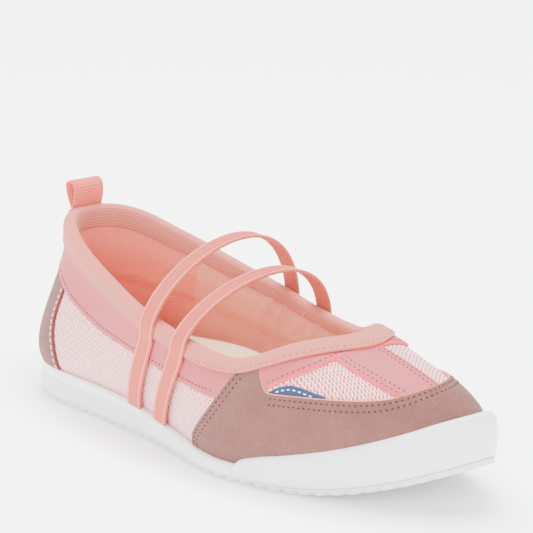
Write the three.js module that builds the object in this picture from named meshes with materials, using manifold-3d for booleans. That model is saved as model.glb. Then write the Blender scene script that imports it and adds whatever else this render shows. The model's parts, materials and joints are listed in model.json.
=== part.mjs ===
// Ballerina sneaker, right shoe, on a moulded rubber sole with two elastic instep straps.
// Millimetres. +X runs to the toe, +Y to the inner side of the foot, +Z up. The shoe stands on z = 0.
//
// The upper is laid out on one base surface, the outer face of the mesh, that runs round the shoe.
// A place on it is (q, t, d): q goes round from the heel seam (0) along the outer side to the toe (1)
// and back along the inner side to the heel (2); t rises from the feather line (0) to the topline (1);
// d is the distance out from the surface. Every ply is a range of d, so plies never cross.
import * as THREE from 'three';
import { mergeVertices } from 'three/addons/utils/BufferGeometryUtils.js';
import Module from 'manifold-3d';

const wasm = await Module();
wasm.setup();

// ---------------------------------------------------------------- driving dimensions
const OUTER = 0; // index of the outer side in a [outer, inner] pair
const INNER = 1;

// Sole outline: half widths [outer, inner] from the centre line, at shares of the length.
const SOLE = {
  length: 257,
  heel: { at: 0.135, half: [37.2, 30.2] },
  waist: { at: 0.41, half: [39.8, 29.8] },
  ball: { at: [0.61, 0.69], half: [47.6, 41.5] },
  tip: 10.5, // how far the tip of the toe lies to the inner side
  fullness: [1.5, 1.95], // how long the sides keep their width from the ball to the toe
  roundness: [1.68, 2.0],
  heelRound: 42,
  toeSpring: 17.8,
  springFrom: 0.72,
};
const OUTSOLE = 2.6;
const NOTCH = { pitch: 7.2, depth: 1.8, height: 1.9 };
const WALL = [
  { at: 0.0, z: 15.2 },
  { at: 0.2, z: 14.4 },
  { at: 0.33, z: 13.4 },
  { at: 0.45, z: 10.2 },
  { at: 0.55, z: 7.8 },
  { at: 0.67, z: 7.2 },
];
const BUMPER = {
  rear: 0.663, // where the toe bumper starts, as a share of the length
  draft: 1.2, // how far its wall leans in over its height
  heights: [
    { at: 0.663, z: 6.4 },
    { at: 0.716, z: 13.3 },
    { at: 0.79, z: 17.8 },
    { at: 0.9, z: 21.4 },
    { at: 1.0, z: 22.6 },
  ],
};
const RIM = [ // distance from the sole's edge in to the feather line
  { at: 0.0, z: 7.0 },
  { at: 0.2, z: 5.6 },
  { at: 0.4, z: 5.0 },
  { at: 1.0, z: 5.0 },
];
const FEATHER = [ // height of the feather line over the tread
  { at: 0.0, z: 10.0 },
  { at: 0.23, z: 10.0 },
  { at: 0.58, z: 5.8 },
  { at: 1.0, z: 5.8 },
];
const FLOOR_DROP = 1.3; // from the feather line down to the cup's floor

// Topline: from the heel to the throat, half widths and heights [outer, inner].
const TOPLINE = {
  heelSet: 11,
  throatSet: 64.5,
  rings: [
    { at: 0.0, half: [29.0, 27.5], z: [76.0, 76.0] },
    { at: 0.2, half: [29.0, 27.5], z: [66.2, 67.0] },
    { at: 0.5, half: [36.4, 32.5], z: [52.3, 54.5] },
    { at: 0.8, half: [35.5, 33.0], z: [44.8, 46.3] },
    { at: 1.0, half: [35.5, 33.0], z: [57.0, 57.0] },
  ],
  heelRound: 55,
  throatRound: 52.5,
  lean: 0.3, // how far the rays of the surface lean to the throat, in radians
};
// Side profile of the last: how far each end's handle goes out and up (low) or out and down (high).
const PROFILE = [
  { at: 0.0, lowOut: 15.5, lowUp: 16, highOut: 2.5, highDown: 24 },
  { at: 0.16, lowOut: 18.0, lowUp: 12, highOut: -2.5, highDown: 22 },
  { at: 0.36, lowOut: 6.0, lowUp: 15, highOut: 1.0, highDown: 15 },
  { at: 0.52, lowOut: 4.5, lowUp: 13, highOut: 3.0, highDown: 12 },
  { at: 0.66, lowOut: 4.0, lowUp: 14, highOut: 10.0, highDown: 9 },
  { at: 0.8, lowOut: 5.5, lowUp: 20, highOut: 17.0, highDown: 8 },
  { at: 0.9, lowOut: 8.0, lowUp: 23.5, highOut: 18.0, highDown: 8 },
  { at: 1.0, lowOut: 6.5, lowUp: 24.5, highOut: 23.0, highDown: 8 },
];

// Plies, from the base surface.
const GAP = 0.3; // between plies that lie on each other
const MESH = 1.0;
const OVERLAY = 1.0;
const STIFFENER = 1.2;
const LINING = 0.9;
const BINDING = 1.0;
const ELASTIC = 1.2;
const FOAM = [ // thickness of the collar foam, from the heel forward
  { at: 0.0, z: 4.0 },
  { at: 0.3, z: 3.4 },
  { at: 0.45, z: 2.4 },
  { at: 0.6, z: 1.2 },
  { at: 0.64, z: 1.2 },
  { at: 0.75, z: 0.0 },
];
const SEAM = 0.0022; // half the gap between two panels that butt, in q
const SEAM_T = 0.006; // the same across, in t

// Panel edges on the surface as [q, t] points of the outer side; the inner side mirrors them.
const WING_EDGE = [[0.524, 0], [0.53, 0.18], [0.55, 0.37], [0.6, 0.72], [0.645, 0.965]];
const WINDOW_OUTER = [[0.694, 0.705], [0.7, 0.675], [0.75, 0.61], [0.8, 0.545], [0.85, 0.492], [0.9, 0.475], [1.0, 0.5]];
const WINDOW_INNER = [[1.0, 0.5], [1.1, 0.52], [1.15, 0.54], [1.2, 0.57], [1.25, 0.62], [1.3, 0.68], [1.306, 0.705]];
const THROAT_EDGE = [[0.694, 0.712], [0.75, 0.745], [0.8, 0.772], [0.85, 0.812], [0.9, 0.848], [0.95, 0.87], [1.0, 0.872]];
const BAND_EDGE = [[0.0, 0.72], [0.15, 0.695], [0.25, 0.645], [0.3, 0.612], [0.35, 0.596], [0.6, 0.621]];
const HEEL_EDGE = [[0.186, 0.68], [0.2, 0.51], [0.235, 0.288], [0.25, 0.11], [0.256, 0]];
const PATCH_EDGE = [[0.7, 0.69], [0.72, 0.705], [0.75, 0.69], [0.785, 0.585]];
const STRIPE = { top: [0.865, 1.049], bottom: [0.898, 1.009] };
const COVER_TOP = 0.965; // panels end here, under the binding
const LINING_TOP = 0.985;
const BINDING_LOW = 0.885;
const BINDING_TOP = 1.04;
const QUARTER_SEAM = 0.6;
const LINING_SEAM = 0.36;
const COUNTER = { q: 0.26, t: 0.62 };
const PUFF = { q: 0.77, t: 0.42 };
const FOAM_PANEL = { q: 0.58, low: 0.66 };

// Straps: places along the shoe at the sole and at the topline [outer, inner], and how far the arch
// leans in and rises as it leaves each side, which sets its crown nearer the inner side.
const STRAP_WIDTH = 9.5;
const STRAPS = [
  { name: 'rear', foot: 93.5, top: [106.5, 110.5], leave: [[10, 28], [4, 50]] },
  { name: 'front', foot: 112.5, top: [127, 131], leave: [[11, 20], [4, 38]] },
];
const STRAP_CLEAR = 1.2; // between the leg's top and the arch, for the swing

const TAB = { width: 16, height: 12, bulge: 4.3, ply: 1.0, clear: 0.9, inset: 1.9, tailLow: 0.895 };

const BOARD = 1.4;
const FOOTBED = {
  thickness: 5.5,
  cup: 2.0, // how far its rim stands up at the heel
  arch: 5.5,
  archFrom: 0.2,
  archTo: 0.62,
  dishFrom: 42, // the dish keeps this far from the ends of the sole
  dishShare: 0.4, // how far in from the rim the dish reaches
};

// ---------------------------------------------------------------- colours
const COLOUR = {
  rubber: 0xebebea, cork: 0xc9b79c, cream: 0xf5e6da, mauve: 0xb5918b, pink: 0xe5a7ad,
  mesh: 0xf8ccca, binding: 0xe8bdb4, elastic: 0xf0b2a4, lining: 0xf4ae9f, foam: 0xf2ead8,
  stiff: 0xd9d2c4, blue: 0x7896be,
};

const finish = (colour, roughness) => new THREE.MeshStandardMaterial({ color: colour, roughness, metalness: 0 });
const clamp = (v, low, high) => Math.min(Math.max(v, low), high);
const mix = (a, b, f) => a + (b - a) * f;

function smooth(from, to, v) {
  const f = clamp((v - from) / (to - from), 0, 1);
  return f * f * (3 - 2 * f);
}

// Smooth value at `at` along a list of stations; `pick` reads a station's value.
function along(stations, at, pick) {
  const last = stations.length - 1;
  const u = clamp(at, stations[0].at, stations[last].at);
  let i = 0;
  while (i < last - 1 && u > stations[i + 1].at) i += 1;
  const slope = (k) => (k <= 0 || k >= last
    ? 0
    : (pick(stations[k + 1]) - pick(stations[k - 1])) / (stations[k + 1].at - stations[k - 1].at));
  const span = stations[i + 1].at - stations[i].at;
  const f = (u - stations[i].at) / span;
  const a = pick(stations[i]);
  const b = pick(stations[i + 1]);
  const f2 = f * f;
  const f3 = f2 * f;
  return (2 * f3 - 3 * f2 + 1) * a + (f3 - 2 * f2 + f) * span * slope(i)
    + (3 * f2 - 2 * f3) * b + (f3 - f2) * span * slope(i + 1);
}
const heightAlong = (stations, at) => along(stations, at, (s) => s.z);

// Straight-line value of an edge drawn as [q, t] points.
function edgeAt(points, q) {
  let i = 0;
  while (i < points.length - 2 && q > points[i + 1][0]) i += 1;
  const f = clamp((q - points[i][0]) / (points[i + 1][0] - points[i][0]), 0, 1);
  return mix(points[i][1], points[i + 1][1], f);
}
const endRound = (distance, radius) => Math.sqrt(Math.max(0, 1 - clamp(1 - distance / radius, 0, 1) ** 2.2));

// ---------------------------------------------------------------- the base surface
const fold = (q) => {
  const r = ((q % 2) + 2) % 2;
  return r <= 1 ? { share: r, side: OUTER } : { share: 2 - r, side: INNER };
};
const sign = (side) => (side === OUTER ? -1 : 1);
const alongShoe = (share) => (SOLE.length / 2) * (1 - Math.cos(share * Math.PI));
const shareAt = (x) => Math.acos(clamp(1 - (2 * x) / SOLE.length, -1, 1)) / Math.PI;
const spring = (x) => {
  const from = SOLE.springFrom * SOLE.length;
  return SOLE.toeSpring * clamp((x - from) / (SOLE.length - from), 0, 1) ** 2;
};

// Half width behind the ball, with the round of the heel.
function rearHalf(x, side) {
  const { heel, waist, ball, length } = SOLE;
  const stations = [
    { at: 0, z: heel.half[side] },
    { at: heel.at, z: heel.half[side] },
    { at: waist.at, z: waist.half[side] },
    { at: ball.at[side], z: ball.half[side] },
    { at: 1, z: ball.half[side] },
  ];
  return heightAlong(stations, x / length) * endRound(x, SOLE.heelRound);
}
function outline(share, side) {
  const x = alongShoe(share);
  const ball = SOLE.ball.at[side] * SOLE.length;
  if (x < ball) return new THREE.Vector3(x, sign(side) * rearHalf(x, side), 0);
  const u = (x - ball) / (SOLE.length - ball);
  const taper = Math.max(0, 1 - u ** SOLE.fullness[side]) ** (1 / SOLE.roundness[side]);
  return new THREE.Vector3(x, mix(SOLE.tip, sign(side) * SOLE.ball.half[side], taper), 0);
}

// Level direction that points out of a loop, at a share of its way.
function outward(loop, share, side) {
  const step = 0.0007;
  const a = loop(clamp(share - step, 0, 1), side);
  const b = loop(clamp(share + step, 0, 1), side);
  const n = new THREE.Vector3(-(b.y - a.y), b.x - a.x, 0).multiplyScalar(sign(side));
  return n.normalize();
}
function inset(share, side, distance) {
  return outline(share, side).addScaledVector(outward(outline, share, side), -distance);
}
function feather(share, side) {
  const p = inset(share, side, heightAlong(RIM, share));
  p.z = heightAlong(FEATHER, p.x / SOLE.length) + spring(p.x);
  return p;
}
function topline(share, side) {
  const turn = share * Math.PI + TOPLINE.lean * Math.sin(share * Math.PI);
  const length = SOLE.length - TOPLINE.throatSet - TOPLINE.heelSet;
  const u = (length / 2) * (1 - Math.cos(turn));
  const half = along(TOPLINE.rings, u / length, (s) => s.half[side]);
  const ends = endRound(u, TOPLINE.heelRound) * endRound(length - u, TOPLINE.throatRound);
  const z = along(TOPLINE.rings, u / length, (s) => s.z[side]);
  return new THREE.Vector3(TOPLINE.heelSet + u, sign(side) * half * ends, z);
}

// Point of the smooth base surface, with straight ends below the feather line and above the topline.
const SKIRT = 50; // mm of height for one unit of t below the feather line
const CREST = 60; // the same above the topline
function surface(share, side, t) {
  const low = feather(share, side);
  const high = topline(share, side);
  if (t < 0) {
    low.z += t * SKIRT;
    return low;
  }
  const lowHandle = low.clone().addScaledVector(outward(feather, share, side), along(PROFILE, share, (s) => s.lowOut));
  lowHandle.z += along(PROFILE, share, (s) => s.lowUp);
  const highHandle = high.clone().addScaledVector(outward(topline, share, side), along(PROFILE, share, (s) => s.highOut));
  highHandle.z -= along(PROFILE, share, (s) => s.highDown);
  if (t > 1) return high.addScaledVector(high.clone().sub(highHandle).normalize(), (t - 1) * CREST);
  return new THREE.CubicBezierCurve3(low, lowHandle, highHandle, high).getPoint(t);
}
function surfaceNormal(share, side, t) {
  if (t <= 0) return outward(feather, share, side);
  const step = 0.002;
  const level = clamp(t, step, 1 - step);
  const round = surface(clamp(share + step, 0, 1), side, level).sub(surface(clamp(share - step, 0, 1), side, level));
  const rise = surface(share, side, level + step).sub(surface(share, side, level - step));
  return round.cross(rise).multiplyScalar(-sign(side)).normalize();
}

// ---------------------------------------------------------------- the net that all plies share
const TURNS = 20; // columns from heel to toe on one side
const ROWS = [-0.15, 0, 0.1, 0.22, 0.36, 0.5, 0.64, 0.76, 0.84, 0.88, 0.94, 1.0, 1.05];
const net = [];
for (let k = 0; k < 2 * TURNS; k += 1) {
  const { share, side } = fold(k / TURNS);
  net.push(ROWS.map((t) => ({ point: surface(share, side, t), normal: surfaceNormal(share, side, t) })));
}
const column = (k) => net[((k % net.length) + net.length) % net.length];

// Room between mesh and lining: stiffeners at heel and toe, foam under the collar.
function foamAt(share) {
  return heightAlong(FOAM, share);
}
function room(q, t) {
  const { share } = fold(q);
  const stiff = STIFFENER + GAP;
  const heel = (1 - smooth(0.3, 0.36, share)) * (1 - smooth(0.66, 0.74, t));
  const toe = smooth(0.66, 0.74, share) * (1 - smooth(0.53, 0.62, t));
  const foam = foamAt(share) * smooth(0.5, 0.64, t);
  const foamGap = foam > 0.4 ? GAP : 0;
  return GAP + Math.max(stiff * heel, stiff * toe, foam + foamGap);
}
const liningOuter = (q, t) => -MESH - room(q, t);
const liningInner = (q, t) => liningOuter(q, t) - LINING;
const fixed = (d) => () => d;

// Place of (q, t, d) on the faceted net: each cell is two flat triangles.
function place(q, t, depth) {
  const k = Math.floor(q * TURNS + 1e-9);
  const u = q * TURNS - k;
  let j = 0;
  while (j < ROWS.length - 2 && t > ROWS[j + 1] + 1e-9) j += 1;
  const v = (t - ROWS[j]) / (ROWS[j + 1] - ROWS[j]);
  const corners = u >= v
    ? [[0, 0, 1 - u], [1, 0, u - v], [1, 1, v]]
    : [[0, 0, 1 - v], [0, 1, v - u], [1, 1, u]];
  const p = new THREE.Vector3();
  for (const [dk, dj, weight] of corners) {
    const node = column(k + dk)[j + dj];
    const d = depth((k + dk) / TURNS, ROWS[j + dj]);
    p.addScaledVector(node.point, weight);
    p.addScaledVector(node.normal, weight * d);
  }
  return p;
}

// ---------------------------------------------------------------- solids from points and faces
function geometryOf(points, faces) {
  const flat = [];
  for (const face of faces) {
    for (const index of face) flat.push(points[index].x, points[index].y, points[index].z);
  }
  const soup = new THREE.BufferGeometry();
  soup.setAttribute('position', new THREE.Float32BufferAttribute(flat, 3));
  const merged = mergeVertices(soup, 2e-4);
  const index = merged.getIndex();
  const kept = [];
  for (let i = 0; i < index.count; i += 3) {
    const [a, b, c] = [index.getX(i), index.getX(i + 1), index.getX(i + 2)];
    if (a !== b && b !== c && c !== a) kept.push(a, b, c);
  }
  merged.setIndex(kept);
  return facingOut(merged);
}
function facingOut(geometry) {
  const position = geometry.getAttribute('position');
  const index = geometry.getIndex();
  const [a, b, c] = [new THREE.Vector3(), new THREE.Vector3(), new THREE.Vector3()];
  let volume = 0;
  for (let i = 0; i < index.count; i += 3) {
    a.fromBufferAttribute(position, index.getX(i));
    b.fromBufferAttribute(position, index.getX(i + 1));
    c.fromBufferAttribute(position, index.getX(i + 2));
    volume += a.dot(b.cross(c));
  }
  if (volume < 0) {
    const turned = [];
    for (let i = 0; i < index.count; i += 3) turned.push(index.getX(i), index.getX(i + 2), index.getX(i + 1));
    geometry.setIndex(turned);
  }
  return geometry;
}
function toManifold(geometry) {
  const vertProperties = new Float32Array(geometry.getAttribute('position').array);
  const triVerts = new Uint32Array(geometry.getIndex().array);
  return new wasm.Manifold(new wasm.Mesh({ numProp: 3, vertProperties, triVerts }));
}
function fromManifold(solid) {
  const mesh = solid.getMesh();
  const geometry = new THREE.BufferGeometry();
  geometry.setAttribute('position', new THREE.Float32BufferAttribute(mesh.vertProperties, 3));
  geometry.setIndex(Array.from(mesh.triVerts));
  return geometry;
}
function cut(blank, ...tools) {
  return fromManifold(tools.reduce((solid, tool) => solid.subtract(toManifold(tool)), toManifold(blank)));
}

// ---------------------------------------------------------------- panels
// Part of a convex outline on the left of the line a to b, in (q, t).
function keepLeft(outlinePoints, a, b) {
  const side = (p) => (b[0] - a[0]) * (p[1] - a[1]) - (b[1] - a[1]) * (p[0] - a[0]);
  const kept = [];
  outlinePoints.forEach((p, i) => {
    const next = outlinePoints[(i + 1) % outlinePoints.length];
    const [here, there] = [side(p), side(next)];
    if (here >= 0) kept.push(p);
    if ((here > 0 && there < 0) || (here < 0 && there > 0)) {
      const f = here / (here - there);
      kept.push([mix(p[0], next[0], f), mix(p[1], next[1], f)]);
    }
  });
  return kept;
}
function areaOf(points) {
  let area = 0;
  points.forEach((p, i) => {
    const next = points[(i + 1) % points.length];
    area += (p[0] * next[1] - next[0] * p[1]) / 2;
  });
  return area;
}

// A ply over convex outlines in (q, t), between the depths `inner` and `outer`.
function ply(outlines, inner, outer) {
  const keys = new Map();
  const spots = [];
  const spot = ([q, t]) => {
    const key = `${Math.round(q * 1e6)},${Math.round(t * 1e6)}`;
    if (!keys.has(key)) {
      keys.set(key, spots.length);
      spots.push([q, t]);
    }
    return keys.get(key);
  };
  const tiles = [];
  for (const shape of outlines) {
    const qs = shape.map((p) => p[0]);
    const first = Math.floor(Math.min(...qs) * TURNS - 1e-6);
    const last = Math.ceil(Math.max(...qs) * TURNS + 1e-6);
    for (let k = first; k < last; k += 1) {
      for (let j = 0; j < ROWS.length - 1; j += 1) {
        const [q0, q1, t0, t1] = [k / TURNS, (k + 1) / TURNS, ROWS[j], ROWS[j + 1]];
        for (const cell of [[[q0, t0], [q1, t0], [q1, t1]], [[q0, t0], [q1, t1], [q0, t1]]]) {
          let piece = shape;
          cell.forEach((corner, i) => {
            if (piece.length > 2) piece = keepLeft(piece, corner, cell[(i + 1) % 3]);
          });
          if (piece.length > 2 && areaOf(piece) > 1e-8) {
            const ids = piece.map(spot).filter((id, i, all) => id !== all[(i + 1) % all.length]);
            if (ids.length > 2) tiles.push(ids);
          }
        }
      }
    }
  }
  const points = [];
  for (const [q, t] of spots) points.push(place(q, t, outer));
  for (const [q, t] of spots) points.push(place(q, t, inner));
  const shift = spots.length;
  const faces = [];
  const edges = new Map();
  for (const tile of tiles) {
    for (let i = 1; i < tile.length - 1; i += 1) {
      faces.push([tile[0], tile[i], tile[i + 1]]);
      faces.push([tile[0] + shift, tile[i + 1] + shift, tile[i] + shift]);
    }
    tile.forEach((id, i) => edges.set(`${id},${tile[(i + 1) % tile.length]}`, [id, tile[(i + 1) % tile.length]]));
  }
  for (const [a, b] of edges.values()) {
    if (!edges.has(`${b},${a}`)) {
      faces.push([a, a + shift, b + shift]);
      faces.push([a, b + shift, b]);
    }
  }
  return geometryOf(points, faces);
}

// Upright strips between a lower and an upper edge, from q0 to q1, with a column at each break.
function strips(q0, q1, low, high, breaks = []) {
  const columns = new Set([q0, q1]);
  for (let k = Math.ceil(q0 * TURNS); k <= Math.floor(q1 * TURNS); k += 1) columns.add(k / TURNS);
  for (const q of breaks) if (q > q0 && q < q1) columns.add(q);
  const sorted = [...columns].sort((a, b) => a - b).filter((q, i, all) => i === 0 || q - all[i - 1] > 2e-4);
  sorted[sorted.length - 1] = q1;
  const shapes = [];
  for (let i = 0; i < sorted.length - 1; i += 1) {
    const [a, b] = [sorted[i], sorted[i + 1]];
    const shape = [[a, low(a)], [b, low(b)], [b, Math.max(low(b), high(b))], [a, Math.max(low(a), high(a))]];
    if (areaOf(shape) > 1e-8) shapes.push(shape);
  }
  return shapes;
}
const breaksOf = (...edges) => edges.flat().map((p) => p[0]);
const mirrored = (points) => points.map(([q, t]) => [2 - q, t]).reverse();

// A closed section of (t, d) points swept once round the shoe.
function sweptRing(section) {
  const size = section(0).length;
  const points = [];
  const faces = [];
  for (let k = 0; k < 2 * TURNS; k += 1) {
    for (const [t, d] of section(k / TURNS)) points.push(place(k / TURNS, t, fixed(d)));
    const next = (k + 1) % (2 * TURNS);
    for (let i = 0; i < size; i += 1) {
      const n = (i + 1) % size;
      faces.push([k * size + i, next * size + i, next * size + n]);
      faces.push([k * size + i, next * size + n, k * size + n]);
    }
  }
  return geometryOf(points, faces);
}

// ---------------------------------------------------------------- bodies built from level rings
// Each ring lists points from the heel down the outer side to the toe and back up the inner side.
// `left` and `right` pair the points that face each other, so that flat strips close both ends.
function ringBody(rings, left, right) {
  const size = rings[0].length;
  const points = rings.flat();
  const faces = [];
  for (let r = 0; r < rings.length - 1; r += 1) {
    for (let i = 0; i < size; i += 1) {
      const n = (i + 1) % size;
      faces.push([r * size + i, r * size + n, (r + 1) * size + n]);
      faces.push([r * size + i, (r + 1) * size + n, (r + 1) * size + i]);
    }
  }
  const top = (rings.length - 1) * size;
  for (let i = 0; i < left.length - 1; i += 1) {
    faces.push([left[i], right[i + 1], left[i + 1]]);
    faces.push([left[i], right[i], right[i + 1]]);
    faces.push([top + left[i], top + left[i + 1], top + right[i + 1]]);
    faces.push([top + left[i], top + right[i + 1], top + right[i]]);
  }
  return geometryOf(points, faces);
}

// Stations of a whole loop from shares on one side, and the pairs that face each other.
function loopOf(shares) {
  const count = shares.length;
  const closedHeel = shares[0] === 0;
  const back = shares.slice(closedHeel ? 1 : 0, count - 1).reverse();
  const stations = [
    ...shares.map((share) => ({ share, side: OUTER })),
    ...back.map((share) => ({ share, side: INNER })),
  ];
  const left = shares.map((_, i) => i);
  const right = left.map((i) => {
    if (i === count - 1) return i;
    if (closedHeel && i === 0) return 0;
    return stations.length - i - (closedHeel ? 0 : 1);
  });
  return { stations, left, right };
}
function plate(shares, edge, bottom, top, draft = 0) {
  const { stations, left, right } = loopOf(shares);
  const ringAt = (height, taken) => stations.map(({ share, side }) => {
    const p = edge(share, side).addScaledVector(outward(outline, share, side), -taken);
    return p.setZ(height(p.x, share, side));
  });
  return ringBody([ringAt(bottom, 0), ringAt(top, draft)], left, right);
}
const netShares = Array.from({ length: TURNS + 1 }, (_, k) => k / TURNS);
const featherHeight = (x) => heightAlong(FEATHER, x / SOLE.length) + spring(x);

// The whole upper as one block, grown by `grow`, for cutting the sole to it.
function upperBlock(grow) {
  const { stations, left, right } = loopOf(netShares);
  const rows = ROWS.filter((t) => t >= 0 && t <= 1);
  const ringAt = (t) => stations.map((_, k) => place(k / TURNS, t, fixed(grow)));
  const floor = ringAt(0).map((p) => p.clone().setZ(featherHeight(p.x) - FLOOR_DROP));
  return ringBody([floor, ...rows.map(ringAt)], left, right);
}

const plyOuter = GAP + OVERLAY + GAP; // nothing of the sewn upper but the straps lies past this

// ---------------------------------------------------------------- sole unit
function outsole() {
  const samples = 400;
  const lengths = [0];
  for (let i = 1; i <= samples; i += 1) {
    lengths.push(lengths[i - 1] + outline(i / samples, OUTER).distanceTo(outline((i - 1) / samples, OUTER)));
  }
  const steps = Math.round((2 * lengths[samples]) / NOTCH.pitch / 2) * 2;
  const shares = Array.from({ length: steps + 1 }, (_, i) => {
    const wanted = (lengths[samples] * i) / steps;
    const after = clamp(lengths.findIndex((l) => l >= wanted - 1e-9), 1, samples);
    return (after - 1 + (wanted - lengths[after - 1]) / (lengths[after] - lengths[after - 1])) / samples;
  });
  shares[0] = 0;
  shares[steps] = 1;
  const { stations, left, right } = loopOf(shares);
  const edge = 0.2;
  const ring = (height, depthOf) => stations.map(({ share, side }, i) => {
    const p = inset(share, side, edge + depthOf(i));
    return p.setZ(height + spring(p.x));
  });
  const notched = (i) => (i % 2 === 1 ? NOTCH.depth : 0);
  const plain = () => 0;
  return ringBody([ring(0, notched), ring(NOTCH.height, plain), ring(OUTSOLE, plain)], left, right);
}

const soleBottom = (x) => OUTSOLE + GAP + spring(x);
const bumperRear = BUMPER.rear * SOLE.length;
const bumperInset = heightAlong(RIM, 1) - plyOuter + GAP; // inner face of the bumper below the feather line

// Shares for the midsole: the cup's wall stops just behind the bumper, and its edge steps in there.
const wallEnd = shareAt(bumperRear - 4 * GAP);
const wallStep = shareAt(bumperRear - 3 * GAP);
const midsoleShares = [...netShares.filter((s) => Math.abs(s - wallEnd) > 0.01), wallEnd, wallStep];
midsoleShares.sort((a, b) => a - b);

function midsole() {
  const rimInset = 0.3;
  const edge = (share, side) => inset(share, side, share <= wallEnd ? rimInset : bumperInset + GAP);
  const top = (x, share) => (share <= wallEnd ? heightAlong(WALL, x / SOLE.length) : featherHeight(x));
  return cut(plate(midsoleShares, edge, soleBottom, top), upperBlock(plyOuter));
}

function toeBumper() {
  const rear = shareAt(bumperRear);
  const shares = [rear, ...netShares.filter((s) => s > rear + 0.01)];
  const top = (x) => heightAlong(BUMPER.heights, x / SOLE.length) + spring(x);
  const blank = plate(shares, outline, soleBottom, top, BUMPER.draft);
  const core = plate(midsoleShares, (share, side) => inset(share, side, bumperInset), () => -1, featherHeight);
  return cut(blank, core, upperBlock(plyOuter));
}

// ---------------------------------------------------------------- inside the shoe
function insideEdge(share, side) {
  const q = side === OUTER ? share : 2 - share;
  return place(q, 0, (qq, t) => liningInner(qq, t) - GAP);
}
function insoleBoard() {
  const bottom = (x) => featherHeight(x) - FLOOR_DROP + GAP;
  return plate(netShares, insideEdge, bottom, (x) => bottom(x) + BOARD);
}
function footbed() {
  const base = (x) => featherHeight(x) - FLOOR_DROP + 2 * GAP + BOARD;
  const archRise = (x, side) => {
    const middle = (FOOTBED.archFrom + FOOTBED.archTo) / 2;
    const at = x / SOLE.length;
    const bump = smooth(FOOTBED.archFrom, middle, at) * (1 - smooth(middle, FOOTBED.archTo, at));
    return FOOTBED.arch * bump * (side === INNER ? 1 : 0.35);
  };
  const rim = (x) => FOOTBED.cup * (1 - smooth(0.3, 0.6, x / SOLE.length));
  const { stations, left, right } = loopOf(netShares);
  const edge = stations.map(({ share, side }) => insideEdge(share, side));
  const low = edge.map((p) => p.clone().setZ(base(p.x)));
  const high = edge.map((p, i) => p.clone().setZ(base(p.x) + FOOTBED.thickness + rim(p.x)
    + archRise(p.x, stations[i].side)));
  const dished = high.map((p, i) => {
    const facing = high[left.includes(i) ? right[i] : left[right.indexOf(i)]];
    const middle = p.clone().add(facing).multiplyScalar(0.5);
    middle.x = clamp(middle.x, FOOTBED.dishFrom, SOLE.length - FOOTBED.dishFrom);
    const spot = p.clone().lerp(middle, FOOTBED.dishShare);
    return spot.setZ(base(spot.x) + FOOTBED.thickness);
  });
  return ringBody([low, high, dished], left, right);
}

// ---------------------------------------------------------------- upper panels
const overlayPly = (shapes) => ply(shapes, fixed(GAP), fixed(GAP + OVERLAY));
const meshPly = (shapes) => ply(shapes, fixed(-MESH), fixed(0));
const stiffPly = (shapes) => ply(shapes, fixed(-MESH - GAP - STIFFENER), fixed(-MESH - GAP));
const floorEdge = () => 0;
const coverEdge = () => COVER_TOP;
const windowEdge = [...WINDOW_OUTER, ...WINDOW_INNER.slice(1)];
const throatEdge = [...THROAT_EDGE, ...mirrored(THROAT_EDGE).slice(1)];

function mudguard() {
  const [q0, q1] = [WING_EDGE[0][0], 2 - WING_EDGE[0][0]];
  const [w0, w1] = [windowEdge[0][0], windowEdge[windowEdge.length - 1][0]];
  const top = (q) => {
    if (q < 1) return q <= w0 ? edgeAt(WING_EDGE, q) : edgeAt(windowEdge, q);
    return q >= w1 ? edgeAt(WING_EDGE, 2 - q) : edgeAt(windowEdge, q);
  };
  const breaks = [...breaksOf(WING_EDGE, mirrored(WING_EDGE), windowEdge), w0 + SEAM, w1 - SEAM];
  return overlayPly(strips(q0, q1, floorEdge, top, breaks));
}
function heelOverlay() {
  const reach = HEEL_EDGE[HEEL_EDGE.length - 1][0];
  const rise = HEEL_EDGE[0][0];
  const top = (q) => {
    const share = Math.abs(q);
    return share <= rise ? edgeAt(BAND_EDGE, share) - SEAM_T : edgeAt(HEEL_EDGE, share) - SEAM_T;
  };
  const breaks = [...HEEL_EDGE.map((p) => p[0]), ...BAND_EDGE.map((p) => p[0])];
  return overlayPly(strips(-reach, reach, floorEdge, (q) => Math.max(top(q), 0), breaks.flatMap((q) => [q, -q])));
}
function collarBand(side) {
  const wing = [...WING_EDGE].reverse();
  const low = (share) => {
    const under = edgeAt(BAND_EDGE, share) + SEAM_T;
    return share < WING_EDGE[2][0] ? under : Math.max(under, edgeAt(WING_EDGE, share) + 4 * SEAM_T);
  };
  const reach = wing[0][0] - 0.006;
  const breaks = breaksOf(BAND_EDGE, WING_EDGE);
  if (side === OUTER) return overlayPly(strips(SEAM, reach, low, coverEdge, breaks));
  const mirrorLow = (q) => low(2 - q);
  return overlayPly(strips(2 - reach, 2 - SEAM, mirrorLow, coverEdge, breaks.map((q) => 2 - q)));
}
function throatBand() {
  const [q0, q1] = [windowEdge[0][0] + 3 * SEAM, windowEdge[windowEdge.length - 1][0] - 3 * SEAM];
  const low = (q) => edgeAt(throatEdge, q) + SEAM_T;
  return overlayPly(strips(q0, q1, low, coverEdge, breaksOf(throatEdge)));
}
function toeStripe() {
  const [t0, t1] = STRIPE.top;
  const [b0, b1] = STRIPE.bottom;
  const under = (q) => edgeAt(windowEdge, q) + 2 * SEAM_T;
  const over = (q) => edgeAt(throatEdge, q) - 2 * SEAM_T;
  const low = (q) => {
    if (q < b0) return mix(over(t0), under(b0), (q - t0) / (b0 - t0));
    if (q > b1) return mix(under(b1), over(t1), (q - b1) / (t1 - b1));
    return under(q);
  };
  return overlayPly(strips(t0, t1, low, over, [b0, b1, ...breaksOf(windowEdge, throatEdge)]));
}
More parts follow.
